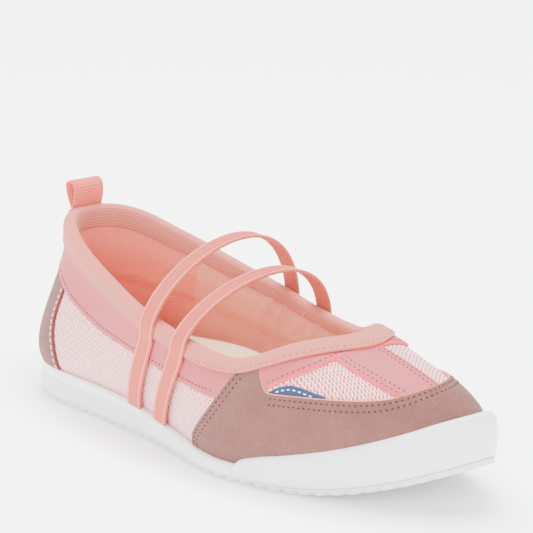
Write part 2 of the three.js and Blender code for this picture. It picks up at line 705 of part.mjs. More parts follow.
function sidePatch() {
  const [q0, q1] = [PATCH_EDGE[0][0], PATCH_EDGE[PATCH_EDGE.length - 1][0]];
  const low = (q) => edgeAt(windowEdge, q) + 2 * SEAM_T;
  const high = (q) => Math.min(edgeAt(PATCH_EDGE, q), edgeAt(throatEdge, q) - 2 * SEAM_T);
  return overlayPly(strips(q0, q1, low, high, breaksOf(PATCH_EDGE, windowEdge)));
}
function quarterMesh(side) {
  const span = [SEAM, QUARTER_SEAM - SEAM];
  const [q0, q1] = side === OUTER ? span : [2 - span[1], 2 - span[0]];
  return meshPly(strips(q0, q1, floorEdge, coverEdge));
}
const vampMesh = () => meshPly(strips(QUARTER_SEAM + SEAM, 2 - QUARTER_SEAM - SEAM, floorEdge, coverEdge));
const heelCounter = () => stiffPly(strips(-COUNTER.q, COUNTER.q, floorEdge, () => COUNTER.t));
const toePuff = () => stiffPly(strips(PUFF.q, 2 - PUFF.q, floorEdge, () => PUFF.t));

function liningPanel(q0, q1) {
  return ply(strips(q0, q1, floorEdge, () => LINING_TOP), liningInner, liningOuter);
}
function collarFoam() {
  const inner = (q, t) => Math.min(liningOuter(q, t) + GAP, -MESH - 2 * GAP);
  return ply(strips(-FOAM_PANEL.q, FOAM_PANEL.q, () => FOAM_PANEL.low, coverEdge), inner, fixed(-MESH - GAP));
}
function collarBinding() {
  const row = 0.94;
  const under = plyOuter;
  return sweptRing((q) => {
    const inside = liningInner(q, 1) - GAP;
    const insideRow = liningInner(q, row) - GAP;
    const outer = under + BINDING;
    return [
      [BINDING_LOW, under], [BINDING_LOW, outer], [row, outer], [1, outer], [BINDING_TOP, outer - 1.6],
      [BINDING_TOP, inside + 0.6], [1, inside - BINDING], [row, insideRow - BINDING],
      [BINDING_LOW + 0.02, insideRow - BINDING], [BINDING_LOW + 0.02, insideRow],
      [row, insideRow], [1, inside], [1, under], [row, under],
    ];
  });
}

// ---------------------------------------------------------------- straps
function shareOf(loop, x) {
  let [low, high] = [0, 1];
  for (let i = 0; i < 40; i += 1) {
    const middle = (low + high) / 2;
    if (loop(middle, OUTER).x < x) low = middle;
    else high = middle;
  }
  return (low + high) / 2;
}
const strapInner = (q, t) => plyOuter + (t > 0.85 ? BINDING + GAP : 0);
const strapOuter = (q, t) => strapInner(q, t) + ELASTIC;

// Height on the net at which the wall of the cup ends, as t.
function rimLevel(q, x) {
  const wanted = heightAlong(WALL, x / SOLE.length) + 2 * GAP;
  let [low, high] = [0, 0.5];
  for (let i = 0; i < 30; i += 1) {
    const middle = (low + high) / 2;
    if (place(q, middle, fixed(plyOuter + ELASTIC)).z < wanted) low = middle;
    else high = middle;
  }
  return high;
}
function strapLeg(strap, side) {
  const half = STRAP_WIDTH / 2;
  const turn = (share) => (side === OUTER ? share : 2 - share);
  const [a, b] = [-half, half].map((s) => shareOf(feather, strap.foot + s));
  const [c, d] = [half, -half].map((s) => shareOf(topline, strap.top[side] + s));
  const corner = (share, x) => [turn(share), Math.max(rimLevel(turn(share), x), 0.02)];
  const shape = [corner(a, strap.foot - half), corner(b, strap.foot + half), [turn(c), 0.995], [turn(d), 0.995]];
  return ply([side === OUTER ? shape : shape.reverse()], strapInner, strapOuter);
}
function anchorOf(strap, side) {
  const share = shareOf(topline, strap.top[side]);
  return place(side === OUTER ? share : 2 - share, 1, fixed(plyOuter + BINDING + GAP + ELASTIC / 2));
}
function strapArch(strap) {
  const [from, to] = [anchorOf(strap, OUTER), anchorOf(strap, INNER)];
  from.z += STRAP_CLEAR;
  to.z += STRAP_CLEAR;
  const [outer, inner] = strap.leave;
  const curve = new THREE.CubicBezierCurve3(
    from,
    from.clone().add(new THREE.Vector3(0, outer[0], outer[1])),
    to.clone().add(new THREE.Vector3(0, -inner[0], inner[1])),
    to,
  );
  const steps = 22;
  const taper = 3.2; // the ends narrow towards the seam so that the strap can tip
  const length = curve.getLength();
  const points = [];
  for (let i = 0; i <= steps; i += 1) {
    const u = i === 0 || i === steps ? i / steps : clamp((i - 0.5) / (steps - 1), 0, 1);
    const centre = curve.getPointAt(u);
    const run = curve.getTangentAt(u);
    const across = new THREE.Vector3(1, 0, 0);
    const face = run.clone().cross(across).normalize();
    across.crossVectors(face, run).normalize();
    const near = Math.min(u, 1 - u) * length;
    const half = mix(1.4, STRAP_WIDTH / 2, clamp(near / taper, 0, 1));
    for (const [w, f] of [[-1, -1], [1, -1], [1, 1], [-1, 1]]) {
      points.push(centre.clone().addScaledVector(across, w * half).addScaledVector(face, (f * ELASTIC) / 2));
    }
  }
  const faces = [[0, 1, 2], [0, 2, 3]];
  const end = steps * 4;
  faces.push([end, end + 2, end + 1], [end, end + 3, end + 2]);
  for (let i = 0; i < steps; i += 1) {
    for (let c = 0; c < 4; c += 1) {
      const [a, b] = [i * 4 + c, i * 4 + ((c + 1) % 4)];
      faces.push([a, a + 4, b + 4], [a, b + 4, b]);
    }
  }
  return geometryOf(points, faces);
}

// ---------------------------------------------------------------- pull tab
const heelTop = place(0, BINDING_TOP, fixed(plyOuter + BINDING - TAB.inset));
function tabLoop() {
  const { height, bulge, ply: thick, width } = TAB;
  const teardrop = (shrink) => {
    const top = height - shrink;
    const wide = bulge - shrink;
    const low = shrink * 1.9;
    const shape = [[0, low], [wide * 0.62, low + 2.2], [wide, height * 0.62], [wide * 0.72, top - 0.9]];
    return [...shape, [0, top], ...shape.slice(1).reverse().map(([x, z]) => [-x, z])];
  };
  const outside = new THREE.Shape(teardrop(0).map(([x, z]) => new THREE.Vector2(x, z)));
  outside.holes.push(new THREE.Path(teardrop(thick).map(([x, z]) => new THREE.Vector2(x, z))));
  const band = new THREE.ExtrudeGeometry(outside, { depth: width, bevelEnabled: false });
  band.rotateX(Math.PI / 2);
  band.translate(heelTop.x, width / 2, heelTop.z + TAB.clear);
  band.deleteAttribute('normal');
  band.deleteAttribute('uv');
  return facingOut(mergeVertices(band, 1e-4));
}
function tabTail() {
  const half = TAB.width / 2;
  const q = shareOf((share) => new THREE.Vector3(Math.abs(topline(share, OUTER).y), 0, 0), half);
  const low = TAB.tailLow;
  const shapes = [[[-q, low], [0, low], [0, 0.995], [-q, 0.995]], [[0, low], [q, low], [q, 0.995], [0, 0.995]]];
  return ply(shapes, strapInner, strapOuter);
}

// ---------------------------------------------------------------- assembly
const shoe = new THREE.Group();
function add(name, geometry, colour, roughness) {
  const mesh = new THREE.Mesh(geometry, finish(colour, roughness));
  mesh.name = name;
  shoe.add(mesh);
}
add('outsole', outsole(), COLOUR.rubber, 0.55);
add('midsole_cup', midsole(), COLOUR.rubber, 0.5);
add('toe_bumper', toeBumper(), COLOUR.rubber, 0.45);
add('insole_board', insoleBoard(), COLOUR.cork, 0.9);
add('footbed', footbed(), COLOUR.cream, 0.9);
add('heel_counter', heelCounter(), COLOUR.stiff, 0.8);
add('toe_puff', toePuff(), COLOUR.stiff, 0.8);
add('quarter_mesh_outer', quarterMesh(OUTER), COLOUR.mesh, 0.9);
add('quarter_mesh_inner', quarterMesh(INNER), COLOUR.mesh, 0.9);
add('vamp_mesh', vampMesh(), COLOUR.mesh, 0.9);
add('mudguard', mudguard(), COLOUR.mauve, 0.85);
add('heel_overlay', heelOverlay(), COLOUR.mauve, 0.85);
add('collar_band_outer', collarBand(OUTER), COLOUR.pink, 0.6);
add('collar_band_inner', collarBand(INNER), COLOUR.pink, 0.6);
add('throat_band', throatBand(), COLOUR.pink, 0.6);
add('toe_stripe', toeStripe(), COLOUR.pink, 0.6);
add('side_patch', sidePatch(), COLOUR.blue, 0.7);
add('collar_foam', collarFoam(), COLOUR.foam, 0.95);
add('heel_lining', liningPanel(-LINING_SEAM + SEAM, LINING_SEAM - SEAM), COLOUR.lining, 0.95);
add('vamp_lining', liningPanel(LINING_SEAM + SEAM, 2 - LINING_SEAM - SEAM), COLOUR.lining, 0.95);
add('collar_binding', collarBinding(), COLOUR.binding, 0.9);
for (const strap of STRAPS) {
  add(`${strap.name}_strap_leg_outer`, strapLeg(strap, OUTER), COLOUR.elastic, 0.9);
  add(`${strap.name}_strap_leg_inner`, strapLeg(strap, INNER), COLOUR.elastic, 0.9);
  add(`${strap.name}_strap_arch`, strapArch(strap), COLOUR.elastic, 0.9);
}
add('pull_tab_tail', tabTail(), COLOUR.elastic, 0.9);
add('pull_tab_loop', tabLoop(), COLOUR.elastic, 0.9);

// The shoe stands with the middle of its box over the origin.
const box = new THREE.Box3().setFromObject(shoe);
shoe.position.set(-(box.min.x + box.max.x) / 2, -(box.min.y + box.max.y) / 2, -box.min.z);

export default shoe;
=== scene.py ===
"""Ballerina sneaker, right shoe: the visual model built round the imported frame.

Sizes are in millimetres in the shoe's own layout, in which the heel's back edge is x = 0, and become
metres in the row frame when a mesh is made. A place on the upper is (q, t, d): q runs round from the
heel seam (0) along the outer side to the toe (1) and back along the inner side (2), t rises from the
feather line (0) to the topline (1), and d is the distance out from the face of the mesh fabric.
"""

import json
import logging
import math
from dataclasses import dataclass, field
from enum import Enum
from typing import Callable, Optional, Sequence, Union

import bmesh
import bpy
import numpy as np
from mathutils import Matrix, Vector
from mathutils.geometry import delaunay_2d_cdt
from mathutils.kdtree import KDTree

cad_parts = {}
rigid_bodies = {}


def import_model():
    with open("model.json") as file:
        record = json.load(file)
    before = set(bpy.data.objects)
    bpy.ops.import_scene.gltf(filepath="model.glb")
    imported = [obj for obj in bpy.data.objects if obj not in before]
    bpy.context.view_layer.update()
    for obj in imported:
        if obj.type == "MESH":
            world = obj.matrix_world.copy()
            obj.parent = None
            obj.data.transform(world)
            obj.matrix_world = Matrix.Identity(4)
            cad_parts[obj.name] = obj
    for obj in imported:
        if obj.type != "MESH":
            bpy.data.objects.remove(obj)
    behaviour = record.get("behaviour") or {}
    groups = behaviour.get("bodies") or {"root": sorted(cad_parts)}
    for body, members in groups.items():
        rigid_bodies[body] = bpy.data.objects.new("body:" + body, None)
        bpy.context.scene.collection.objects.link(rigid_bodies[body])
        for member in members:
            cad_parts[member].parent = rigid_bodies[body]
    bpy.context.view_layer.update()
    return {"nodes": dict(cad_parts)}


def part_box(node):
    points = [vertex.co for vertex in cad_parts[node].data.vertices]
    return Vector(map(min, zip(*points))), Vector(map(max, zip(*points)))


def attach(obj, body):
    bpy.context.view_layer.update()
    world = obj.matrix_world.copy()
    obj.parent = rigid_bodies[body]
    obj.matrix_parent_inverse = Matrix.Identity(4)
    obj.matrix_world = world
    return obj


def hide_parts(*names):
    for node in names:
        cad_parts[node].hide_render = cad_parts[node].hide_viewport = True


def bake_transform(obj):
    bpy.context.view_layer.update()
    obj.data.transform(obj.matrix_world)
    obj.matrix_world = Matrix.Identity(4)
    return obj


LOG = logging.getLogger("sneaker")
MM = 0.001
SHIFT = np.array([-128.204, 3.048, 0.0])  # from the shoe's layout to the row frame
SHOE, REAR_STRAP, FRONT_STRAP, PULL_TAB = "shoe", "rear_strap", "front_strap", "pull_tab"
Keys = Sequence[tuple[float, float]]
Array = np.ndarray
Depth = Union[float, Callable[[Array, Array], Array]]


# ------------------------------------------------------------------ numbers
def eased(low: float, high: float, value: Array) -> Array:
    """Smooth step from 0 at `low` to 1 at `high`."""
    f = np.clip((np.asarray(value, float) - low) / (high - low), 0, 1)
    return f * f * (3 - 2 * f)


def mix(a: Array, b: Array, f: Array) -> Array:
    """Straight blend from a to b."""
    return a + (b - a) * f


def smooth_along(keys: Keys, at: Array, flat_ends: bool = True) -> Array:
    """Smooth value through a list of (position, value) keys.

    Args:
        keys: positions in rising order with their values.
        at: where to read.
        flat_ends: whether the slope is zero at both ends.

    Returns:
        The value at each place.
    """
    xs = np.array([k[0] for k in keys], float)
    ys = np.array([k[1] for k in keys], float)
    slope = np.zeros(len(xs))
    slope[1:-1] = (ys[2:] - ys[:-2]) / (xs[2:] - xs[:-2])
    if not flat_ends:
        slope[0] = (ys[1] - ys[0]) / (xs[1] - xs[0])
        slope[-1] = (ys[-1] - ys[-2]) / (xs[-1] - xs[-2])
    u = np.clip(np.asarray(at, float), xs[0], xs[-1])
    i = np.clip(np.searchsorted(xs, u, side="right") - 1, 0, len(xs) - 2)
    span = xs[i + 1] - xs[i]
    f = (u - xs[i]) / span
    f2, f3 = f * f, f**3
    return (
        (2 * f3 - 3 * f2 + 1) * ys[i]
        + (f3 - 2 * f2 + f) * span * slope[i]
        + (3 * f2 - 2 * f3) * ys[i + 1]
        + (f3 - f2) * span * slope[i + 1]
    )


def end_round(distance: Array, radius: float) -> Array:
    """Share of the full width at a distance from a rounded end."""
    return np.sqrt(np.maximum(0, 1 - np.clip(1 - distance / radius, 0, 1) ** 2.2))


def unit(v: Array) -> Array:
    """Vectors scaled to length one."""
    return v / (np.linalg.norm(v, axis=-1, keepdims=True) + 1e-12)


def path_through(points: Array, count: int) -> Array:
    """Evenly spaced points on a smooth curve through the given ones.

    Args:
        points: the points to pass through.
        count: how many points to make.

    Returns:
        Points, one row each.
    """
    points = np.asarray(points, float)
    ext = np.concatenate([[2 * points[0] - points[1]], points, [2 * points[-1] - points[-2]]])
    out = []
    for i in range(1, len(ext) - 2):
        f = np.linspace(0, 1, 24, endpoint=False)[:, None]
        p0, p1, p2, p3 = ext[i - 1], ext[i], ext[i + 1], ext[i + 2]
        out.append(
            0.5 * (2 * p1 + (p2 - p0) * f + (2 * p0 - 5 * p1 + 4 * p2 - p3) * f**2
                   + (3 * p1 - p0 - 3 * p2 + p3) * f**3)
        )
    dense = np.concatenate([*out, points[-1:]])
    return evenly(dense, count)


def evenly(dense: Array, count: int) -> Array:
    """A polyline resampled to evenly spaced points.

    Args:
        dense: the polyline to resample.
        count: how many points to make.

    Returns:
        Points, one row each.
    """
    way = np.concatenate([[0], np.cumsum(np.linalg.norm(np.diff(dense, axis=0), axis=1))])
    at = np.linspace(0, way[-1], count)
    return np.stack([np.interp(at, way, dense[:, k]) for k in range(dense.shape[1])], -1)


# ------------------------------------------------------------------ the last
@dataclass(frozen=True)
class SoleShape:
    """The sole's outline, toe spring and heights."""

    length: float = 257.0
    heel: tuple[float, float] = (37.2, 30.2)
    waist: tuple[float, float] = (39.8, 29.8)
    ball: tuple[float, float] = (47.6, 41.5)
    ball_at: tuple[float, float] = (0.61, 0.69)
    tip: float = 10.5
    fullness: tuple[float, float] = (1.5, 1.95)
    roundness: tuple[float, float] = (1.68, 2.0)
    heel_round: float = 42.0
    toe_spring: float = 17.8
    spring_from: float = 0.72
    rim: Keys = ((0, 7.0), (0.2, 5.6), (0.4, 5.0), (1, 5.0))
    feather_height: Keys = ((0, 10.0), (0.23, 10.0), (0.58, 5.8), (1, 5.8))

    def spring(self, x: Array) -> Array:
        """Height of the tread over the floor."""
        start = self.spring_from * self.length
        return self.toe_spring * np.clip((x - start) / (self.length - start), 0, 1) ** 2

    def outline(self, q: Array) -> Array:
        """Points of the sole's edge, level, for places round the shoe.

        Args:
            q: places round the shoe.

        Returns:
            Points, one row each.
        """
        q = np.asarray(q, float)
        x = self.length / 2 * (1 - np.cos(q * np.pi))
        inner = (np.mod(q, 2) > 1).astype(int)
        side = np.where(inner == 1, 1.0, -1.0)
        sides = []
        for k in (0, 1):
            keys = ((0, self.heel[k]), (0.135, self.heel[k]), (0.41, self.waist[k]),
                    (self.ball_at[k], self.ball[k]), (1, self.ball[k]))
            rear = smooth_along(keys, x / self.length) * end_round(x, self.heel_round)
            ball = self.ball_at[k] * self.length
            u = np.clip((x - ball) / (self.length - ball), 0, 1)
            taper = np.maximum(1 - u ** self.fullness[k], 0) ** (1 / self.roundness[k])
            sign = -1.0 if k == 0 else 1.0
            sides.append(np.where(x < ball, sign * rear,
                                  self.tip + (sign * self.ball[k] - self.tip) * taper))
        y = np.where(side < 0, sides[0], sides[1])
        return np.stack([x, y, np.zeros_like(x)], -1)

    def outward(self, q: Array) -> Array:
        """Level direction out of the outline.

        Args:
            q: places round the shoe.

        Returns:
            Level unit directions.
        """
        q = np.asarray(q, float)
        step = 2e-3
        run = self.outline(q + step) - self.outline(q - step)
        return unit(np.stack([run[..., 1], -run[..., 0], np.zeros_like(q)], -1))

    def inset(self, q: Array, distance: Array) -> Array:
        """Points moved in from the outline."""
        return self.outline(q) - self.outward(q) * np.asarray(distance)[..., None]

    def feather(self, q: Array) -> Array:
        """The line where the upper meets the sole.

        Args:
            q: places round the shoe.

        Returns:
            Points, one row each.
        """
        share = self.share(q)
        p = self.inset(q, smooth_along(self.rim, share))
        p[..., 2] = smooth_along(self.feather_height,
                                 p[..., 0] / self.length) + self.spring(p[..., 0])
        return p

    @staticmethod
    def share(q: Array) -> Array:
        """How far along its side a place round the shoe lies, from heel 0 to toe 1."""
        r = np.mod(q, 2)
        return np.where(r > 1, 2 - r, r)

    def q_at(self, x: float) -> float:
        """Place on the outer side at a distance from the heel."""
        return math.acos(max(-1.0, min(1.0, 1 - 2 * x / self.length))) / math.pi


@dataclass(frozen=True)
class Last:
    """The smooth surface that every panel of the upper lies on."""

    sole: SoleShape = field(default_factory=SoleShape)
    heel_set: float = 11.0
    throat_set: float = 64.5
    half: tuple[Keys, Keys] = (
        ((0, 29.0), (0.2, 29.0), (0.5, 36.4), (0.8, 35.5), (1, 35.5)),
        ((0, 27.5), (0.2, 27.5), (0.5, 32.5), (0.8, 33.0), (1, 33.0)),
    )
    top: tuple[Keys, Keys] = (
        ((0, 76.0), (0.2, 66.2), (0.5, 52.3), (0.8, 44.8), (1, 57.0)),
        ((0, 76.0), (0.2, 67.0), (0.5, 54.5), (0.8, 46.3), (1, 57.0)),
    )
    heel_round: float = 55.0
    throat_round: float = 52.5
    lean: float = 0.3
    skirt: float = 50.0
    crest: float = 60.0
    low_out: Keys = ((0, 15.5), (0.16, 18), (0.36, 6), (0.52, 4.5), (0.66, 4), (0.8, 5.5), (0.9, 8),
                     (1, 6.5))
    low_up: Keys = ((0, 16), (0.16, 12), (0.36, 15), (0.52, 13), (0.66, 14), (0.8, 20), (0.9, 23.5),
                    (1, 24.5))
    high_out: Keys = ((0, 2.5), (0.16, -2.5), (0.36, 1), (0.52, 3), (0.66, 10), (0.8, 17),
                      (0.9, 18), (1, 23))
    high_down: Keys = ((0, 24), (0.16, 22), (0.36, 15), (0.52, 12), (0.66, 9), (0.8, 8), (0.9, 8),
                       (1, 8))
    foam: Keys = ((0, 4.0), (0.3, 3.4), (0.45, 2.4), (0.6, 1.2), (0.75, 0.0))

    def topline(self, q: Array) -> Array:
        """The rim of the mouth.

        Args:
            q: places round the shoe.

        Returns:
            Points, one row each.
        """
        r = np.mod(q, 2)
        share = self.sole.share(q)
        length = self.sole.length - self.throat_set - self.heel_set
        u = length / 2 * (1 - np.cos(share * np.pi + self.lean * np.sin(share * np.pi)))
        ends = end_round(u, self.heel_round) * end_round(length - u, self.throat_round)
        inner = r > 1
        half = np.where(inner, smooth_along(self.half[1], u / length),
                        -smooth_along(self.half[0], u / length))
        z = np.where(inner, smooth_along(self.top[1], u / length),
                     smooth_along(self.top[0], u / length))
        return np.stack([self.heel_set + u, half * ends, z], -1)

    @staticmethod
    def level_out(line: Callable[[Array], Array], q: Array) -> Array:
        """Level direction out of a closed line.

        Args:
            line: the line to follow.
            q: places round the shoe.

        Returns:
            Level unit directions.
        """
        step = 2e-3
        run = line(q + step) - line(q - step)
        return unit(np.stack([run[..., 1], -run[..., 0], np.zeros_like(q)], -1))

    def face(self, q: Array, t: Array) -> Array:
        """Points of the surface at d = 0.

        Args:
            q: places round the shoe.
            t: places up the surface.

        Returns:
            Points, one row each.
        """
        q, t = np.broadcast_arrays(np.asarray(q, float), np.asarray(t, float))
        share = self.sole.share(q)
        low, high = self.sole.feather(q), self.topline(q)
        p1 = low + self.level_out(self.sole.feather, q) * smooth_along(self.low_out, share)[...,
                                                                                            None]
        p1[..., 2] += smooth_along(self.low_up, share)
        p2 = high + self.level_out(self.topline, q) * smooth_along(self.high_out, share)[..., None]
        p2[..., 2] -= smooth_along(self.high_down, share)
        f = np.clip(t, 0, 1)[..., None]
        g = 1 - f
        p = low * g**3 + 3 * p1 * g * g * f + 3 * p2 * g * f * f + high * f**3
        p = p + unit(high - p2) * np.maximum(t - 1, 0)[..., None] * self.crest
        p[..., 2] += np.minimum(t, 0) * self.skirt
        return p

    def normal(self, q: Array, t: Array) -> Array:
        """Outward directions of the surface.

        Args:
            q: places round the shoe.
            t: places up the surface.

        Returns:
            Unit directions.
        """
        q, t = np.broadcast_arrays(np.asarray(q, float), np.asarray(t, float))
        s = 3e-3
        level = np.clip(t, s, 1 - s)
        run = self.face(q + s, level) - self.face(q - s, level)
        rise = self.face(q, level + s) - self.face(q, level - s)
        n = unit(np.cross(run, rise))
        flat = self.level_out(self.sole.feather, q)
        return unit(mix(flat, n, eased(0, 0.1, t)[..., None]))

    def place(self, q: Array, t: Array, d: Depth) -> Array:
        """Points at depth d over the surface.

        Args:
            q: places round the shoe.
            t: places up the surface.
            d: depths out of the surface, in millimetres.

        Returns:
            Points, one row each.
        """
        q, t = np.broadcast_arrays(np.asarray(q, float), np.asarray(t, float))
        depth = d(q, t) if callable(d) else np.full(q.shape, float(d))
        return self.face(q, t) + self.normal(q, t) * depth[..., None]

    def room(self, q: Array, t: Array) -> Array:
        """Space between the mesh and the lining, for stiffeners and foam.

        Args:
            q: places round the shoe.
            t: places up the surface.

        Returns:
            The space, in millimetres.
        """
        share = self.sole.share(q)
        heel = (1 - eased(0.3, 0.36, share)) * (1 - eased(0.66, 0.74, t))
        toe = eased(0.66, 0.74, share) * (1 - eased(0.53, 0.62, t))
        foam = (smooth_along(self.foam, share) + 0.3) * eased(0.5, 0.64,
                                                              t) * (1 - 0.9 * eased(0.76, 0.98, t))
        return 0.3 + np.maximum(np.maximum(1.5 * heel, 1.5 * toe), foam)

    def q_on(self, line: Callable[[Array], Array], x: float) -> float:
        """Place on the outer side where a line reaches a distance from the heel."""
        qs = np.linspace(0, 1, 2001)
        return float(np.interp(x, line(qs)[:, 0], qs))


# ------------------------------------------------------------------ meshes
def signed_volume(points: Array, faces: Sequence[Sequence[int]]) -> float:
    """Volume inside a closed set of faces, negative where they point inwards.

    Args:
        points: the points, one row each.
        faces: each face's point numbers.

    Returns:
        The volume.
    """
    tri = []
    for f in faces:
        for i in range(1, len(f) - 1):
            tri.append((f[0], f[i], f[i + 1]))
    t = np.array(tri)
    a, b, c = points[t[:, 0]], points[t[:, 1]], points[t[:, 2]]
    return float(np.einsum("ij,ij->i", a, np.cross(b, c)).sum()) / 6


def make_object(name: str, points: Array, faces: list, uv: Optional[Array] = None,
                slots: Optional[Array] = None) -> bpy.types.Object:
    """Makes a closed smooth mesh object in the row frame.

    Args:
        name: the piece's name.
        points: vertices in the shoe's layout, in millimetres.
        faces: vertex indices of each face.
        uv: a texture place for each vertex, in millimetres.
        slots: a material number for each face.

    Returns:
        The new object, linked to the scene.
    """
    points = np.asarray(points, float)
    if signed_volume(points - points.mean(0), faces) < 0:
        faces = [tuple(reversed(f)) for f in faces]
    mesh = bpy.data.meshes.new(name)
    mesh.from_pydata(((points + SHIFT) * MM).tolist(), [], faces)
    mesh.polygons.foreach_set("use_smooth", np.ones(len(faces), bool))
    if slots is not None:
        mesh.polygons.foreach_set("material_index", np.asarray(slots, np.int32))
    if uv is not None:
        layer = mesh.uv_layers.new(name="weave")
        loops = np.zeros(len(mesh.loops), np.int32)
        mesh.loops.foreach_get("vertex_index", loops)
        layer.data.foreach_set("uv", np.asarray(uv, np.float32)[loops].ravel())
    shell = bmesh.new()
    shell.from_mesh(mesh)
    bmesh.ops.recalc_face_normals(shell, faces=shell.faces)
    if shell.calc_volume(signed=True) < 0:
        bmesh.ops.reverse_faces(shell, faces=shell.faces)
    shell.to_mesh(mesh)
    shell.free()
    mesh.update()
    obj = bpy.data.objects.new(name, mesh)
    bpy.context.scene.collection.objects.link(obj)
    return obj


def grid_faces(rows: int, cols: int, closed_rows: bool, closed_cols: bool) -> list:
    """Quads of a grid whose points are numbered row by row.

    Args:
        rows: how many rows of points.
        cols: how many points in a row.
        closed_rows: whether the last row joins the first.
        closed_cols: whether each row closes on itself.

    Returns:
        The faces, as point numbers.
    """
    faces = []
    for r in range(rows if closed_rows else rows - 1):
        for c in range(cols if closed_cols else cols - 1):
            r2, c2 = (r + 1) % rows, (c + 1) % cols
            faces.append((r * cols + c, r * cols + c2, r2 * cols + c2, r2 * cols + c))
    return faces


def swept(name: str, sections: Array, closed_path: bool,
          uv: Optional[Array] = None) -> bpy.types.Object:
    """A solid from closed sections one after another, with flat caps unless the path closes.

    Args:
        name: the name that it gets.
        sections: closed outlines of equal count, one after another.
        closed_path: whether the last section joins the first.
        uv: texture coordinates of the points, where the finish needs them.

    Returns:
        The piece.
    """
    n, m = sections.shape[:2]
    faces = grid_faces(n, m, closed_path, True)
    if not closed_path:
        faces.append(tuple(reversed(range(m))))
        faces.append(tuple(range((n - 1) * m, n * m)))
    flat = sections.reshape(-1, 3)
    return make_object(name, flat, faces, None if uv is None else uv.reshape(-1, 2))


def dress(obj: bpy.types.Object, *materials: bpy.types.Material) -> bpy.types.Object:
    """Puts the materials on the object's slots.

    Args:
        obj: the piece.
        materials: its materials, in slot order.

    Returns:
        The piece.
    """
    for m in materials:
        obj.data.materials.append(m)
    return obj


# ------------------------------------------------------------------ shader expressions
class Wire:
    """A shader value that can be used in Python expressions."""

    def __init__(self, shader: "Shader", socket: bpy.types.NodeSocket) -> None:
        """Wraps a socket of a shader tree."""
        self.shader, self.socket = shader, socket

    def _math(self, operation: str, *others: Union["Wire", float]) -> "Wire":
        """A Math node on this value and the others."""
        return self.shader.math(operation, self, *others)

    def __add__(self, o: Union["Wire", float]) -> "Wire":
        """Sum."""
        return self._math("ADD", o)

    __radd__ = __add__

    def __mul__(self, o: Union["Wire", float]) -> "Wire":
        """Product."""
        return self._math("MULTIPLY", o)

    __rmul__ = __mul__

    def __sub__(self, o: Union["Wire", float]) -> "Wire":
        """Difference."""
        return self._math("SUBTRACT", o)

    def __rsub__(self, o: float) -> "Wire":
        """Difference from a number."""
        return self.shader.math("SUBTRACT", o, self)

    def __truediv__(self, o: Union["Wire", float]) -> "Wire":
        """Quotient."""
        return self._math("DIVIDE", o)

    def __pow__(self, o: float) -> "Wire":
        """Power."""
        return self._math("POWER", o)

    def fract(self) -> "Wire":
        """Part after the point."""
        return self._math("FRACT")

    def floor(self) -> "Wire":
        """Whole part."""
        return self._math("FLOOR")

    def size(self) -> "Wire":
        """Value without its sign."""
        return self._math("ABSOLUTE")

    def sine(self) -> "Wire":
        """Sine, in radians."""
        return self._math("SINE")

    def ramp(self, low: float, high: float) -> "Wire":
        """Smooth step from 0 at low to 1 at high; falls where low is over high."""
        return self.shader.node("ShaderNodeMapRange", {"interpolation_type": "SMOOTHSTEP"},
                                {"Value": self, "From Min": low, "From Max": high})


Value = Union[Wire, float, tuple]


